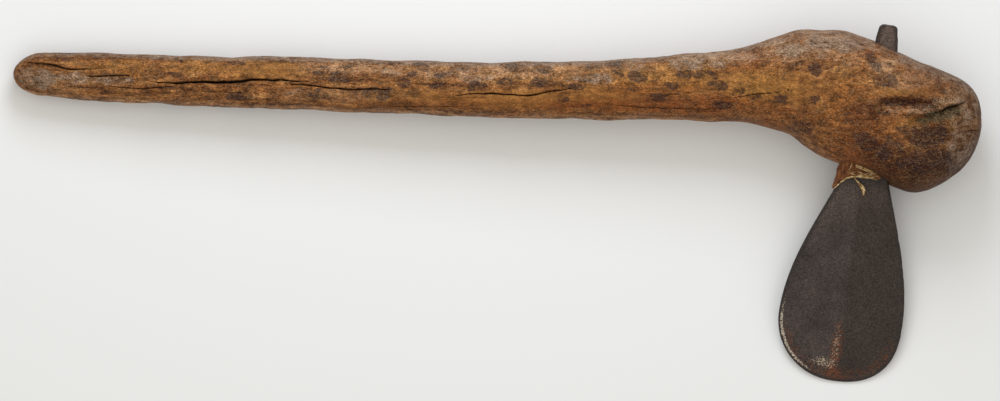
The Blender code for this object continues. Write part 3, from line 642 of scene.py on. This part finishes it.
def hewn_depth(skin, x, on_head, facing_up, facets):
    """How deep scoops, nicks, grain and pits sink the fair surface, and the head's end pared flat.

    A scoop is deepest inside its cell and rises to a ridge at the border with the next. Its cell's number
    sets its depth, from a third of the full depth up. Nicks are small cuts in nearly half of their own cells.
    """
    y = skin[..., 1]
    border, number = facets
    scoop = 1 - np.exp(-((border / SCOOP_RIM) ** SCOOP_POWER))
    cut = (HANDLE_CUT + (HEAD_CUT - HANDLE_CUT) * on_head) * (0.35 + 0.65 * number)
    cut = cut * (1 - spots(x, y, FULL_MARKS))
    nick_border, nick_number = cells(skin, NICK_FACET, 31)
    nicks = soft_step(0, 0.5, nick_border) * np.clip(nick_number * 3 - 1.6, 0, 1)
    depth = SKIN * (1 - on_head) + cut * scoop + NICK_DEPTH * nicks
    for relief, size, seed, octaves in FINE_RELIEF:
        depth = depth + relief * drift(skin, size, seed, octaves)
    pitted = spots(x, y, PITTED_MARKS) * facing_up
    depth = depth + PITTED_DEPTH * pitted * (0.5 + drift(skin, 0.0032, 47, 3))
    end_x, end_y = plan(END_EDGE)
    past_edge = x - smooth_line(end_y[::-1], end_x[::-1], y)
    pared = soft_step(0, 0.0025, past_edge) * soft_step(0.026, 0.010, past_edge) * facing_up
    return depth + END_CUT * pared


def wood_marks(skin, x, on_head, facing_up, number):
    """Stains, wear, dark tones and painted shade, sheen and light. What the photograph hides gets plainer
    marks.
    """
    y = skin[..., 1]
    middle, half_height, _ = haft_section(x)
    share_up = (y - middle) / np.maximum(half_height, 0.004)
    bent_x = x + 0.0042 * drift(skin, 0.012, 53, 4)
    bent_y = y + 0.0030 * drift(skin, 0.008, 59, 4)
    hidden = 1 - facing_up
    hidden_dark = 0.8 * hidden * soft_step(0.62, 0.85, number)
    # Painted sheen: a grey strip along the haft's top edge, a little weaker on the head.
    painted_top_edge_sheen = 0.75 * soft_step(0.70, 0.95, share_up) * (1 - 0.2 * on_head)
    # Painted light: a paler tone along the handle's lower edge, to lift the shade there.
    painted_low_edge_light = 0.4 * soft_step(0.75, 0.95, -share_up) * (1 - on_head)
    drawn = (
        ("dark", DARK_MARKS, 0.95, hidden_dark),
        ("grey_and_top_sheen", GREY_MARKS, 1, painted_top_edge_sheen),
        ("ochre", OCHRE_MARKS, 1, 0.35 * hidden),
        ("red", RED_MARKS, 1, 0),
        ("pale", PALE_MARKS, 1, painted_low_edge_light),
        ("worn", WORN_MARKS, 1, 0.3 * hidden),
    )
    attributes = {
        name: np.maximum(strength * spots(bent_x, bent_y, marks) * facing_up, elsewhere)
        for name, marks, strength, elsewhere in drawn
    }
    # hollow: painted shade in the head's hollow, under its overhanging rim
    attributes["hollow"] = spots(x, y, HOLLOW_SHADE_MARKS) * facing_up
    attributes["bare"] = spots(x, y, BARE_MARKS) * facing_up
    # deep: painted shade on the lower side of the neck and head, and a darker tone on the head's far end
    attributes["deep"] = dark_end_and_painted_low_shade(x, share_up, on_head)
    return attributes


def make_haft(finish, blade):
    """The hewn root wood: its fair surface, cut by shallow scoops, cracks and the head's hollows."""
    x, turn = haft_grid()
    skin = haft_skin(x, turn)
    y = skin[..., 1]
    facing_up = soft_step(0.02, 0.35, np.sin(turn)) + 0 * y
    on_head = soft_step(NECK_START, NECK_END, x)
    facets = hewn_facets(skin, on_head)
    depth = hewn_depth(skin, x, on_head, facing_up, facets)
    crack = np.zeros_like(y)
    for width, deep, marks in CRACKS:
        share = crack_share(x, y, width, marks) * facing_up
        crack = np.maximum(crack, share)
        depth = depth + deep * share
    points = skin - outward(skin) * depth[..., None]
    points[..., 2] -= sink_the_hollows(x, y) * facing_up
    points[..., 2] = np.maximum(points[..., 2], 0)
    points += haft_place(skin)
    points, mouth = open_the_mouth(points, blade)
    attributes = wood_marks(skin, x, on_head, facing_up, facets[1])
    # crack: painted shade, near-black in the cracks and faint over the wood pared above the mouth
    attributes["crack"] = np.maximum(np.clip(crack * 2.2, 0, 1), 0.15 * mouth)
    add_piece(closed_mesh("hewn_haft", points, attributes), finish, "haft_wood", "haft")


def blade_grid():
    """Places to the side and down, the half widths, and how far in from the iron's outline each place is."""
    corner = TANG_CORNER * (1 - np.cos(np.linspace(0.15, math.pi / 2, 8)))
    tang = np.concatenate([corner, np.linspace(0.003, 0.02, 16)])
    inside = np.linspace(0.03, MOUTH - 0.012, 6)
    outside = np.linspace(MOUTH - 0.006, ROUND_CENTRE, 110)
    rounded = ROUND_CENTRE + ROUND_RADIUS * np.sin(np.linspace(0, math.radians(89), 74)[1:])
    down = np.concatenate([tang, inside, outside, rounded])
    across = np.sin(np.linspace(-math.pi / 2, math.pi / 2, BLADE_COLUMNS))[None, :]
    width = np.where(across < 0, left_width(down)[:, None], right_width(down)[:, None])
    side = width * across
    fullness = np.where(across < 0, LEFT_FULLNESS, RIGHT_FULLNESS)
    past = np.maximum(down - ROUND_CENTRE, 0)[:, None] / ROUND_RADIUS
    within = (past**fullness + (np.abs(side) / ROUND_RADIUS) ** fullness) ** (1 / fullness)
    from_edge = np.where(past > 0, ROUND_RADIUS * (1 - within), width * (1 - np.abs(across)))
    return side, np.broadcast_to(down[:, None], side.shape), width, np.maximum(from_edge, 0)


def ridge_line(down):
    """How far to the side of the axis the blade's low ridge runs."""
    return RIDGE_SIDE + RIDGE_LEAN * (down - ROUND_CENTRE)


def both_faces(lower, upper):
    """A ring of columns: the lower face from left to right, then the upper face back."""
    return np.concatenate([lower, upper[:, ::-1]], axis=1)


def soft_band(distance, breadth):
    """1 where the distance is 0, fading as e to the minus square of it in breadths."""
    return np.exp(-((distance / breadth) ** 2))


def iron_marks(side, down, width, from_edge, inner):
    """Where the iron is worn bright and rusted, with painted shade and painted light, each for the lower face
    and the upper.
    """
    past_centre = down - ROUND_CENTRE
    left = soft_step(0.1, -0.35, side / width) * soft_step(-0.02, 0.012, past_centre)
    left = left * (1 - soft_step(0.70, 0.95, past_centre / ROUND_RADIUS))
    bright = soft_band(from_edge - 0.0022, 0.0008) * left
    column = 0.75 * soft_band(side - 0.0002, 0.0045) + 0.35 * soft_step(0.014, 0.004, from_edge)
    rust = soft_step(-0.01, 0.02, past_centre) * column
    # Painted shade: a darker tone right of the ridge on the upper face, from just below the mouth down.
    right_of_ridge = soft_step(-0.0012, 0.0016, side - ridge_line(down))
    shade_right_of_ridge = 0.8 * right_of_ridge * soft_step(MOUTH + 0.004, MOUTH + 0.03, down)
    tip_specks = 0.34 * soft_band(side + 0.0070, 0.0085) * soft_band(past_centre - 0.0300, 0.0036)
    column_specks = 0.18 * soft_band(side + 0.0002, 0.003) * soft_band(past_centre - 0.018, 0.016)
    # Painted light on the tang's end, and a lighter band on the root, held dark just below the mouth as
    # painted shade of the wood.
    root = soft_step(MOUTH + 0.05, MOUTH + 0.015, down) * soft_step(MOUTH + 0.002, MOUTH + 0.012, down)
    tang = np.maximum(soft_step(0.03, 0.02, down), 0.5 * root)
    plain = np.zeros_like(side)
    return {
        "bright": both_faces(bright * 0.5, bright),
        "rust": both_faces(rust * 0.6, rust),
        "shade_right_of_ridge": both_faces(plain, shade_right_of_ridge),
        "specks": both_faces(plain, np.maximum(tip_specks, column_specks)),
        "edge": both_faces(1 - inner, 1 - inner),
        "tang": both_faces(tang, tang),
    }


def make_blade(finish, blade):
    """The forging: the construction's blade with a low ridge, hammer marks, pits and a nicked edge."""
    side, down, width, from_edge = blade_grid()
    thick = half_thickness(down, from_edge)
    inner = soft_step(0, 0.004, from_edge)
    ridge = RIDGE_HEIGHT * np.clip(1 - np.abs(side - ridge_line(down)) / RIDGE_WIDTH, 0, 1)
    ridge = ridge * soft_step(MOUTH, MOUTH + 0.04, down)
    heights = []
    for sign, seed in ((-1, 61), (1, 67)):
        flat = np.stack([side, down, np.full_like(side, sign * 0.5)], axis=-1)
        border, number = cells(flat, (0.014, 0.014, 10), seed)
        hammered = HAMMER_DEPTH * soft_step(0, 0.6, border) * number
        pits = PIT_DEPTH * np.clip(drift(flat, 0.0026, seed + 1, 2) * 2.2 - 0.7, 0, 1)
        height = thick - (hammered + pits + RIDGE_HEIGHT - ridge) * inner
        heights.append(sign * np.maximum(height, EDGE_THICKNESS / 3))
    flat = np.stack([side, down, np.zeros_like(side)], axis=-1)
    nicks = NOTCH_DEPTH * np.clip(drift(flat, 0.006, 71, 2) * 2 - 0.6, 0, 1) * (1 - inner)
    nicked = side * (1 - nicks / np.maximum(width, 0.004))
    points = both_faces(*(blade.place(nicked, down, height) for height in heights))
    points[..., 2] = np.maximum(points[..., 2], 0)
    attributes = iron_marks(nicked, down, width, from_edge, inner)
    add_piece(closed_mesh("forged_blade", points, attributes), finish, "blade_iron", "blade")


def hide_offset(down):
    """From the iron's middle plane to the middle of the hide's thickness."""
    return half_thickness(down, ROUND_RADIUS) + CLEARANCE + HIDE_THICKNESS / 2


def make_hide(finish, blade):
    """One sheet folded round the tang's edge: a flap, a half turn over the fold, and a flap back below.

    The fold bulges most at the mouth, its hem hangs lowest there, and creases run out of the slot.
    """
    rows, flap, fold = 64, 34, 41
    way = np.concatenate([np.linspace(0, 1, flap), np.ones(fold - 2), np.linspace(1, 0, flap)])
    turn = np.concatenate([np.zeros(flap - 1), np.linspace(0, math.pi, fold), np.full(flap - 1, math.pi)])
    edge_at_mouth = -float(left_width(SHOULDER))
    hem_side = HIDE_REACH + (edge_at_mouth - HIDE_REACH) * way - FOLD_BULGE * np.sin(turn)
    toward_fold = np.clip((-hem_side / ROOT_LEFT - HANG_START) / HANG_RUN, 0, 1)
    frayed = 0.00035 * np.sin(way * 37 + turn * 5) + 0.0002 * np.sin(way * 91 + turn * 13) + 0.0004
    hem = MOUTH + HIDE_DROP + HIDE_HANG * toward_fold**HANG_POWER + frayed
    top = MOUTH - HIDE_TUCK
    down = top + (hem - top) * np.linspace(0, 1, rows)[:, None]
    tight = 2 * CLEARANCE + HIDE_THICKNESS / 2
    from_mouth = np.where(down < MOUTH, (MOUTH - down) / HIDE_TUCK, (down - MOUTH) / (HIDE_DROP + HIDE_HANG))
    bulge = tight + (FOLD_BULGE - tight) * np.clip(1 - from_mouth, 0, 1)
    side = HIDE_REACH + (-left_width(down) - HIDE_REACH) * way - bulge * np.sin(turn)
    height = hide_offset(down) * np.cos(turn)
    creases = drift(np.stack([side, down * 0.18, height], axis=-1), 0.0028, 83, 3)
    lift = CREASE_LIFT * (1 + creases) * soft_step(MOUTH - 0.006, MOUTH + 0.002, down)
    side = side - lift * np.sin(turn)
    height = height + lift * 0.6 * np.cos(turn)
    points = blade.place(side, down, height)
    at = np.arange(rows * way.size).reshape(rows, way.size)
    quads = np.stack([at[:-1, :-1], at[:-1, 1:], at[1:, 1:], at[1:, :-1]], axis=-1).reshape(-1, 4)
    mesh = smooth_mesh("folded_hide", points.reshape(-1, 3), quads.tolist())
    piece = add_piece(mesh, finish, "packing_hide", "hide_packing")
    thick = piece.modifiers.new("thickness", "SOLIDIFY")
    thick.thickness = HIDE_THICKNESS
    thick.offset = 0.0


def add(tree, kind, inputs=None, stops=(), **settings):
    """Adds a shader node with its settings. An input is a value, or a node or its output to link.

    The stops of a colour ramp are places and tones.
    """
    node = tree.nodes.new("ShaderNode" + kind)
    for key, value in settings.items():
        setattr(node, key, value)
    for key, value in (inputs or {}).items():
        if isinstance(value, bpy.types.Node):
            value = value.outputs[0]
        if isinstance(value, bpy.types.NodeSocket):
            tree.links.new(value, node.inputs[key])
        else:
            node.inputs[key].default_value = value
    for _ in stops[2:]:
        node.color_ramp.elements.new(0.5)
    for i, (place, stop_tone) in enumerate(stops):
        node.color_ramp.elements[i].position = place
        node.color_ramp.elements[i].color = tone(stop_tone)
    return node


def tone(hex_value):
    """An sRGB hex value as a linear colour."""
    parts = np.array([int(hex_value[i : i + 2], 16) for i in (0, 2, 4)]) / 255
    linear = np.where(parts <= 0.04045, parts / 12.92, ((parts + 0.055) / 1.055) ** 2.4)
    return (*linear, 1.0)


def per(millimetres):
    """The scale of a pattern whose features are that far apart."""
    return 1000 / millimetres


def new_material(name):
    made = bpy.data.materials.new(name)
    made.use_nodes = True
    tree = made.node_tree
    tree.nodes.clear()
    return made, tree


def pattern(tree, coords, lengths, detail, roughness=0.6):
    """A fractal pattern whose features measure the three lengths in millimetres, from about 0.3 to 0.7."""
    placed = add(tree, "Mapping", {"Vector": coords, "Scale": [per(length) for length in lengths]})
    inputs = {"Vector": placed, "Scale": 1.0, "Detail": detail, "Roughness": roughness}
    return add(tree, "TexNoise", inputs).outputs["Fac"]


def blended(tree, share, colour, other, blend_type="MIX"):
    """The colour with a share of the other laid over it."""
    inputs = {0: share, 6: colour, 7: other}
    return add(tree, "Mix", inputs, data_type="RGBA", blend_type=blend_type).outputs[2]


def stained(tree, colour, stains):
    """Lays stains over a colour where the mesh's attributes say.

    Each is an attribute's name, its tone, how ragged the pattern makes it, how sharp its edges are, the most
    it covers, and the pattern.
    """
    for name, stain_tone, ragged, sharp, most, broken in stains:
        inputs = {0: broken, 1: ragged, 2: 1 - ragged / 2}
        centred = add(tree, "Math", inputs, operation="MULTIPLY_ADD")
        zone = add(tree, "Attribute", attribute_name=name)
        inputs = {0: zone.outputs["Fac"], 1: centred}
        share = add(tree, "Math", inputs, operation="MULTIPLY")
        inputs = {0: share, 1: 0.5 - 0.5 / sharp, 2: 0.5 + 0.5 / sharp, 4: most}
        share = add(tree, "MapRange", inputs)
        colour = blended(tree, share, colour, tone(stain_tone))
    return colour


def threads(tree, colour, thread_tone, breadth, zone, reach, winding):
    """Lays thin winding lines over a colour, where a pattern crosses its middle value.

    The reach is the most they cover outside the zone, then in it.
    """
    edges = ((0.5 - breadth, "000000"), (0.5, "FFFFFF"), (0.5 + breadth, "000000"))
    lines = add(tree, "ValToRGB", {0: winding}, edges)
    most = add(tree, "MapRange", {0: zone, 3: reach[0], 4: reach[1]})
    share = add(tree, "Math", {0: lines, 1: most}, operation="MULTIPLY")
    return blended(tree, share, colour, tone(thread_tone))


def hewn_root_wood():
    """Old oiled root wood, hewn and handled: a warm brown with pale scratches and dark dirt in its fibres.

    The finest specks are about 1 mm apart, which is 1.5 pixels of the photograph.
    """
    made, tree = new_material("hewn_root_wood")
    coords = add(tree, "TexCoord").outputs["Object"]
    streaks = pattern(tree, coords, (34, 3.0, 3.0), 5, 0.62)
    mottle = pattern(tree, coords, (13, 7, 7), 6, 0.68)
    flecks = pattern(tree, coords, (3.6, 1.4, 1.4), 4, 0.7)
    specks = pattern(tree, coords, (1.3, 0.9, 0.9), 2, 0.7)
    pale_lines = pattern(tree, coords, (6.0, 3.0, 3.0), 4, 0.62)
    dark_lines = pattern(tree, coords, (7.0, 2.4, 2.4), 4, 0.62)
    crackle = pattern(tree, coords, (2.8, 3.2, 3.2), 4, 0.65)
    patches = pattern(tree, coords, (6.5, 4.2, 4.2), 4, 0.7)
    blend = add(tree, "Mix", {0: 0.5, 2: streaks, 3: mottle}, data_type="FLOAT")
    ground = ((0.38, "4E2E15"), (0.46, "794A24"), (0.53, "935F31"), (0.62, "B07C48"))
    colour = add(tree, "ValToRGB", {0: blend}, ground)
    colour = stained(
        tree,
        colour,
        (
            # ochre: ochre stains, and painted highlights on the ridges by the split and the knot
            ("ochre", "A47034", 4.0, 1.0, 0.8, mottle),
            # pale: pale scratches and crackle, painted light along the handle's lower edge, and a painted
            # highlight on the lip by the knot
            ("pale", "B48A64", 5.0, 2.0, 0.6, patches),
            ("red", "84461C", 5.0, 1.0, 0.85, mottle),
            # deep paints shade on the lower side of the neck and head, and darkens the head's far end
            ("deep", "44240E", 4.0, 1.3, 0.95, flecks),
            # grey: grey patches, and a painted sheen along the haft's top edge
            ("grey_and_top_sheen", "836E5C", 5.0, 2.0, 0.8, patches),
            ("dark", "2C1E1D", 6.0, 5.0, 0.76, patches),
            # hollow paints the shade under the hollow's overhanging rim
            ("hollow", "38170F", 5.0, 1.5, 0.95, flecks),
            ("bare", "4E4028", 3.0, 2.5, 1.0, streaks),
        ),
    )
    grime = ((0.38, "505050"), (0.47, "ACACAC"), (0.53, "C4C4C4"), (0.62, "F2F2F2"))
    worn = add(tree, "Attribute", attribute_name="worn").outputs["Fac"]
    for texture, strength in ((patches, 0.5), (flecks, 0.35), (specks, 0.65)):
        greys = add(tree, "ValToRGB", {0: texture}, grime)
        share = add(tree, "MapRange", {0: worn, 3: strength, 4: strength * 0.5})
        colour = blended(tree, share, colour, greys, "OVERLAY")
    pale = add(tree, "Attribute", attribute_name="pale").outputs["Fac"]
    colour = threads(tree, colour, "2A160C", 0.013, worn, (0.65, 0.25), dark_lines)
    colour = threads(tree, colour, "CDA478", 0.014, worn, (0.5, 0.1), pale_lines)
    colour = threads(tree, colour, "E0C4A2", 0.020, pale, (0.0, 0.85), crackle)
    # Painted shade: near-black in the cracks, and a faint darkening over the mouth
    colour = stained(tree, colour, (("crack", "080503", 0.0, 1.0, 1.0, flecks),))
    roughness = add(tree, "MapRange", {0: mottle, 1: 0.3, 2: 0.7, 3: 0.62, 4: 0.45})
    heights = add(tree, "Mix", {0: 0.5, 2: flecks, 3: specks}, data_type="FLOAT")
    bump = add(tree, "Bump", {"Strength": 0.8, "Distance": 0.0018, "Height": heights})
    surface = {"Base Color": colour, "Roughness": roughness, "Normal": bump}
    shader = add(tree, "BsdfPrincipled", surface | {"IOR": 1.45, "Specular IOR Level": 0.16})
    add(tree, "OutputMaterial", {0: shader})
    return made


def forged_iron():
    """Hand-forged iron under an old brown-black patina: matt, with rust freckles and a worn bright edge.

    The finest grit is about 1 mm apart, which is 1.5 pixels of the photograph.
    """
    made, tree = new_material("forged_iron")
    coords = add(tree, "TexCoord").outputs["Object"]
    cloud = pattern(tree, coords, (26, 26, 26), 5, 0.6)
    freckles = pattern(tree, coords, (3.0, 3.0, 3.0), 6, 0.75)
    grit = pattern(tree, coords, (1.1, 1.1, 1.1), 3, 0.8)
    blend = add(tree, "Mix", {0: 0.4, 2: cloud, 3: freckles}, data_type="FLOAT")
    patina = ((0.36, "2E2621"), (0.47, "3C322D"), (0.55, "453B36"), (0.66, "524640"))
    colour = add(tree, "ValToRGB", {0: blend}, patina)
    colour = stained(
        tree,
        colour,
        (
            # tang: painted light on the tang's end, and a lighter root band kept dark just below the mouth as
            # painted shade
            ("tang", "64544A", 1.0, 1.0, 0.9, freckles),
            # painted shade right of the ridge
            ("shade_right_of_ridge", "33281F", 3.0, 1.0, 0.8, freckles),
            ("rust", "6A3A1C", 9.0, 1.6, 0.8, freckles),
            ("edge", "352C27", 1.0, 1.0, 1.0, freckles),
            ("bright", "B5A896", 9.0, 1.6, 0.9, grit),
            ("specks", "B4A088", 22.0, 1.6, 0.8, grit),
        ),
    )
    dust = ((0.38, "787878"), (0.47, "B0B0B0"), (0.54, "C4C4C4"), (0.63, "F0F0F0"))
    greys = add(tree, "ValToRGB", {0: grit}, dust)
    colour = blended(tree, 1.0, colour, greys, "OVERLAY")
    roughness = add(tree, "MapRange", {0: freckles, 1: 0.3, 2: 0.7, 3: 0.50, 4: 0.72})
    heights = add(tree, "Mix", {0: 0.5, 2: freckles, 3: grit}, data_type="FLOAT")
    bump = add(tree, "Bump", {"Strength": 0.5, "Distance": 0.0008, "Height": heights})
    surface = {"Base Color": colour, "Roughness": roughness, "Normal": bump}
    shader = add(tree, "BsdfPrincipled", surface | {"Metallic": 0.35})
    add(tree, "OutputMaterial", {0: shader})
    return made


def raw_hide():
    """Dry hide, hair side in: a matt red-brown with fibres that run out of the slot."""
    made, tree = new_material("raw_hide")
    coords = add(tree, "TexCoord").outputs["Object"]
    fibres = pattern(tree, coords, (1.3, 6, 3), 4, 0.65)
    patches = pattern(tree, coords, (5, 5, 5), 5, 0.7)
    blend = add(tree, "Mix", {0: 0.5, 2: fibres, 3: patches}, data_type="FLOAT")
    browns = ((0.40, "4A2511"), (0.47, "74421F"), (0.54, "8C572C"), (0.62, "AE7A45"))
    colour = add(tree, "ValToRGB", {0: blend}, browns)
    bump = add(tree, "Bump", {"Strength": 0.7, "Distance": 0.0006, "Height": blend})
    surface = {"Base Color": colour, "Roughness": 0.75, "Normal": bump, "IOR": 1.45}
    shader = add(tree, "BsdfPrincipled", surface)
    add(tree, "OutputMaterial", {0: shader})
    return made


def dry_straw():
    """Dry grass straw: a glossy golden skin with fine lines along it."""
    made, tree = new_material("dry_straw")
    coords = add(tree, "TexCoord").outputs["Object"]
    lines = pattern(tree, coords, (2.4, 1.6, 1.6), 4, 0.7)
    golds = ((0.38, "6E4C1E"), (0.46, "A87E3E"), (0.54, "D2AE70"), (0.64, "F2DDB0"))
    colour = add(tree, "ValToRGB", {0: lines}, golds)
    shader = add(tree, "BsdfPrincipled", {"Base Color": colour, "Roughness": 0.45, "IOR": 1.5})
    add(tree, "OutputMaterial", {0: shader})
    return made


def strand(blade, points, widths, thickness, twist=0.0, rows=40):
    """A flat strand's grid in the axe's frame: an oval section carried along a line through the points.

    Each point is metres to the side, then below the mouth as seen from above, then the height over the
    iron's middle plane.
    """
    course = blade.seen_at(*np.array(points).T)
    given = np.linspace(0, 1, len(points))
    at = np.linspace(0, 1, rows)
    line = np.stack([smooth_line(given, values, at) for values in course], axis=-1)
    heading = np.gradient(line, axis=0)
    heading /= np.linalg.norm(heading, axis=-1, keepdims=True)
    across = np.cross(heading, (0, 0, 1))
    across /= np.linalg.norm(across, axis=-1, keepdims=True)
    above = np.cross(across, heading)
    turn = twist * at[:, None]
    broad = np.cos(turn) * across + np.sin(turn) * above
    thin = np.cos(turn) * above - np.sin(turn) * across
    half = smooth_line(np.linspace(0, 1, len(widths)), widths, at)[:, None, None] / 2
    around = np.linspace(0, 2 * math.pi, 10, endpoint=False)
    ring = np.cos(around)[None, :, None] * broad[:, None] * half
    ring = ring + np.sin(around)[None, :, None] * thin[:, None] * np.minimum(thickness / 2, half)
    grid = line[:, None] + ring
    return blade.place(grid[..., 0], grid[..., 1], grid[..., 2])


def add_straw(name, strands, finish, node):
    """One piece made of strands, in place of the CAD node."""
    places, faces, count = [], [], 0
    for grid in strands:
        part = closed_mesh("part", grid)
        corners = np.empty(len(part.vertices) * 3)
        part.vertices.foreach_get("co", corners)
        places.append(corners.reshape(-1, 3))
        faces += [[index + count for index in face.vertices] for face in part.polygons]
        count += len(part.vertices)
        bpy.data.meshes.remove(part)
    add_piece(smooth_mesh(name, np.concatenate(places), faces), finish, "straw", node)


def frayed_fibres(blade, over_hide):
    """Short fibres that lie every way between the two straws in the mouth."""
    generator = np.random.default_rng(5)
    for _ in range(FIBRES):
        start = generator.uniform((-0.0100, 0.0000, over_hide - 0.0005), (0.0050, 0.0020, over_hide))
        run = generator.uniform((0.0028, 0.0001, -0.0004), (0.0072, 0.0020, 0.0004))
        bend = generator.uniform((-0.0003, -0.0006, 0), (0.0003, 0.0006, 0.0006))
        fibre = (start, start + run / 2 + bend, start + run)
        yield strand(blade, fibre, (0.0002, 0.0004, 0.0002), 0.0003, generator.uniform(0, 2), 12)


def make_straws(finish, blade):
    """The strand along the hide's hem, the frayed straws in the mouth, the sliver and the curled leaf."""
    top = float(half_thickness(MOUTH, ROUND_RADIUS)) + 0.0009
    over_hide = float(hide_offset(MOUTH)) + HIDE_THICKNESS / 2 + 0.0011
    hem = np.array(
        [
            (-0.0173, 0.0126, 0.0036),
            (-0.0158, 0.0103, top + 0.0012),
            (-0.0134, 0.0075, top + 0.0016),
            (-0.0096, 0.0043, top + 0.0017),
            (-0.0047, 0.0029, top + 0.0016),
            (0.0028, 0.0026, top + 0.0013),
            (0.0097, 0.0031, top + 0.0006),
        ]
    )
    split_off = hem[2:6] + (0, 0.0007, -0.0006)
    along_hem = [
        strand(blade, hem, (0.0007, 0.0010, 0.0011, 0.0010, 0.0009, 0.0007), 0.0007, 0.9, 60),
        strand(blade, split_off, (0.0003, 0.0005, 0.0003), 0.0004, 0.6),
    ]
    add_straw("straw_strand_along_hem", along_hem, finish, "straw_along_hem")
    upper = np.array(
        [
            (-0.0062, -0.0047, over_hide),
            (0.0022, -0.0027, over_hide + 0.0004),
            (0.0097, -0.0002, top),
        ]
    )
    small = (
        (-0.0082, -0.0001, over_hide),
        (-0.0050, -0.0004, over_hide + 0.0004),
        (0.0002, 0.0002, over_hide),
    )
    across = [
        strand(blade, upper, (0.0012, 0.0013, 0.0010), 0.0006, 0.8),
        strand(blade, upper + (0.0004, 0.0012, -0.0002), (0.0005, 0.0008, 0.0005), 0.0005, 0.5),
        strand(blade, small, (0.0003, 0.0008, 0.0003), 0.0004, 0.5, 18),
        *frayed_fibres(blade, over_hide),
    ]
    add_straw("frayed_straws_in_mouth", across, finish, "straw_in_mouth")
    sliver = (
        (-0.0088, -0.0060, over_hide + 0.0004),
        (-0.0090, -0.0040, over_hide + 0.0008),
        (-0.0094, -0.0022, over_hide + 0.0004),
        (-0.0104, -0.0006, over_hide),
    )
    bits = [strand(blade, sliver, (0.0004, 0.0008, 0.0007, 0.0003), 0.0004, 1.4, 24)]
    add_straw("bent_straw_sliver", bits, finish, "straw_sliver")
    leaf = (
        (-0.0055, 0.0043, top + 0.0002),
        (-0.0024, 0.0070, top + 0.0006),
        (0.0006, 0.0098, top + 0.0012),
        (0.0019, 0.0125, top + 0.0016),
        (0.0020, 0.0152, top + 0.0008),
    )
    curl = [strand(blade, leaf, (0.0005, 0.0010, 0.0022, 0.0031, 0.0026, 0.0004), 0.0004, 0.9, 36)]
    add_straw("curled_straw_leaf", curl, finish, "straw_curl")


def make_floor():
    """A plain pale board under the axe."""
    corners = FLOOR_REACH * np.array([(-1, -1, 0), (1, -1, 0), (1, 1, 0), (-1, 1, 0)])
    mesh = smooth_mesh("pale_floor", corners, [(0, 1, 2, 3)])
    floor = add_object("pale_floor", mesh)
    made, tree = new_material("matt_white_board")
    shader = add(tree, "BsdfPrincipled", {"Base Color": tone(FLOOR_TONE), "Roughness": 0.9})
    add(tree, "OutputMaterial", {0: shader})
    mesh.materials.append(made)
    floor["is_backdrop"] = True


def light_the_scene():
    """A soft window on the haft's far side, and a pale room, brightest overhead, that lifts the shadows."""
    scene = bpy.context.scene
    world = bpy.data.worlds.new("pale_room")
    world.use_nodes = True
    tree = world.node_tree
    background = tree.nodes["Background"]
    direction = add(tree, "TexCoord").outputs["Generated"]
    height = add(tree, "SeparateXYZ", {0: direction}).outputs[2]
    overhead = add(tree, "Math", {0: height, 1: height}, operation="MULTIPLY")
    strength = add(tree, "MapRange", {0: overhead, 3: ROOM_WALLS, 4: ROOM_CEILING})
    background.inputs["Color"].default_value = tone("FFFDF9")
    tree.links.new(strength.outputs[0], background.inputs["Strength"])
    scene.world = world
    light = bpy.data.lights.new("window", "AREA")
    light.size = WINDOW_SIZE
    light.energy = WINDOW_POWER
    light.color = tone("EEF5FF")[:3]
    window = add_object("window", light)
    window.location = WINDOW_PLACE
    window.rotation_euler = Vector(WINDOW_PLACE).to_track_quat("Z", "Y").to_euler()
    scene.view_settings.view_transform = "Standard"


def make_camera():
    """Straight above through a long lens, framed as the photograph is."""
    lens = bpy.data.cameras.new("camera")
    lens.sensor_width = SENSOR_WIDTH
    lens.lens = SENSOR_WIDTH * CAMERA_DISTANCE / (PHOTO_WIDTH * METRES_PER_PIXEL)
    lens.clip_end = CAMERA_REACH
    camera = add_object("camera", lens)
    low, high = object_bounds()
    middle_x = low[0] + (PHOTO_WIDTH / 2 - BUTT_PIXEL) * METRES_PER_PIXEL
    middle_y = high[1] - (PHOTO_HEIGHT / 2 - TOP_PIXEL) * METRES_PER_PIXEL
    camera.location = (middle_x, middle_y, FRAMED_HEIGHT + CAMERA_DISTANCE)
    bpy.context.scene.camera = camera


def main():
    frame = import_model()
    blade = Blade(frame["record"])
    make_haft(hewn_root_wood(), blade)
    make_blade(forged_iron(), blade)
    make_hide(raw_hide(), blade)
    make_straws(dry_straw(), blade)
    make_floor()
    light_the_scene()
    make_camera()


main()
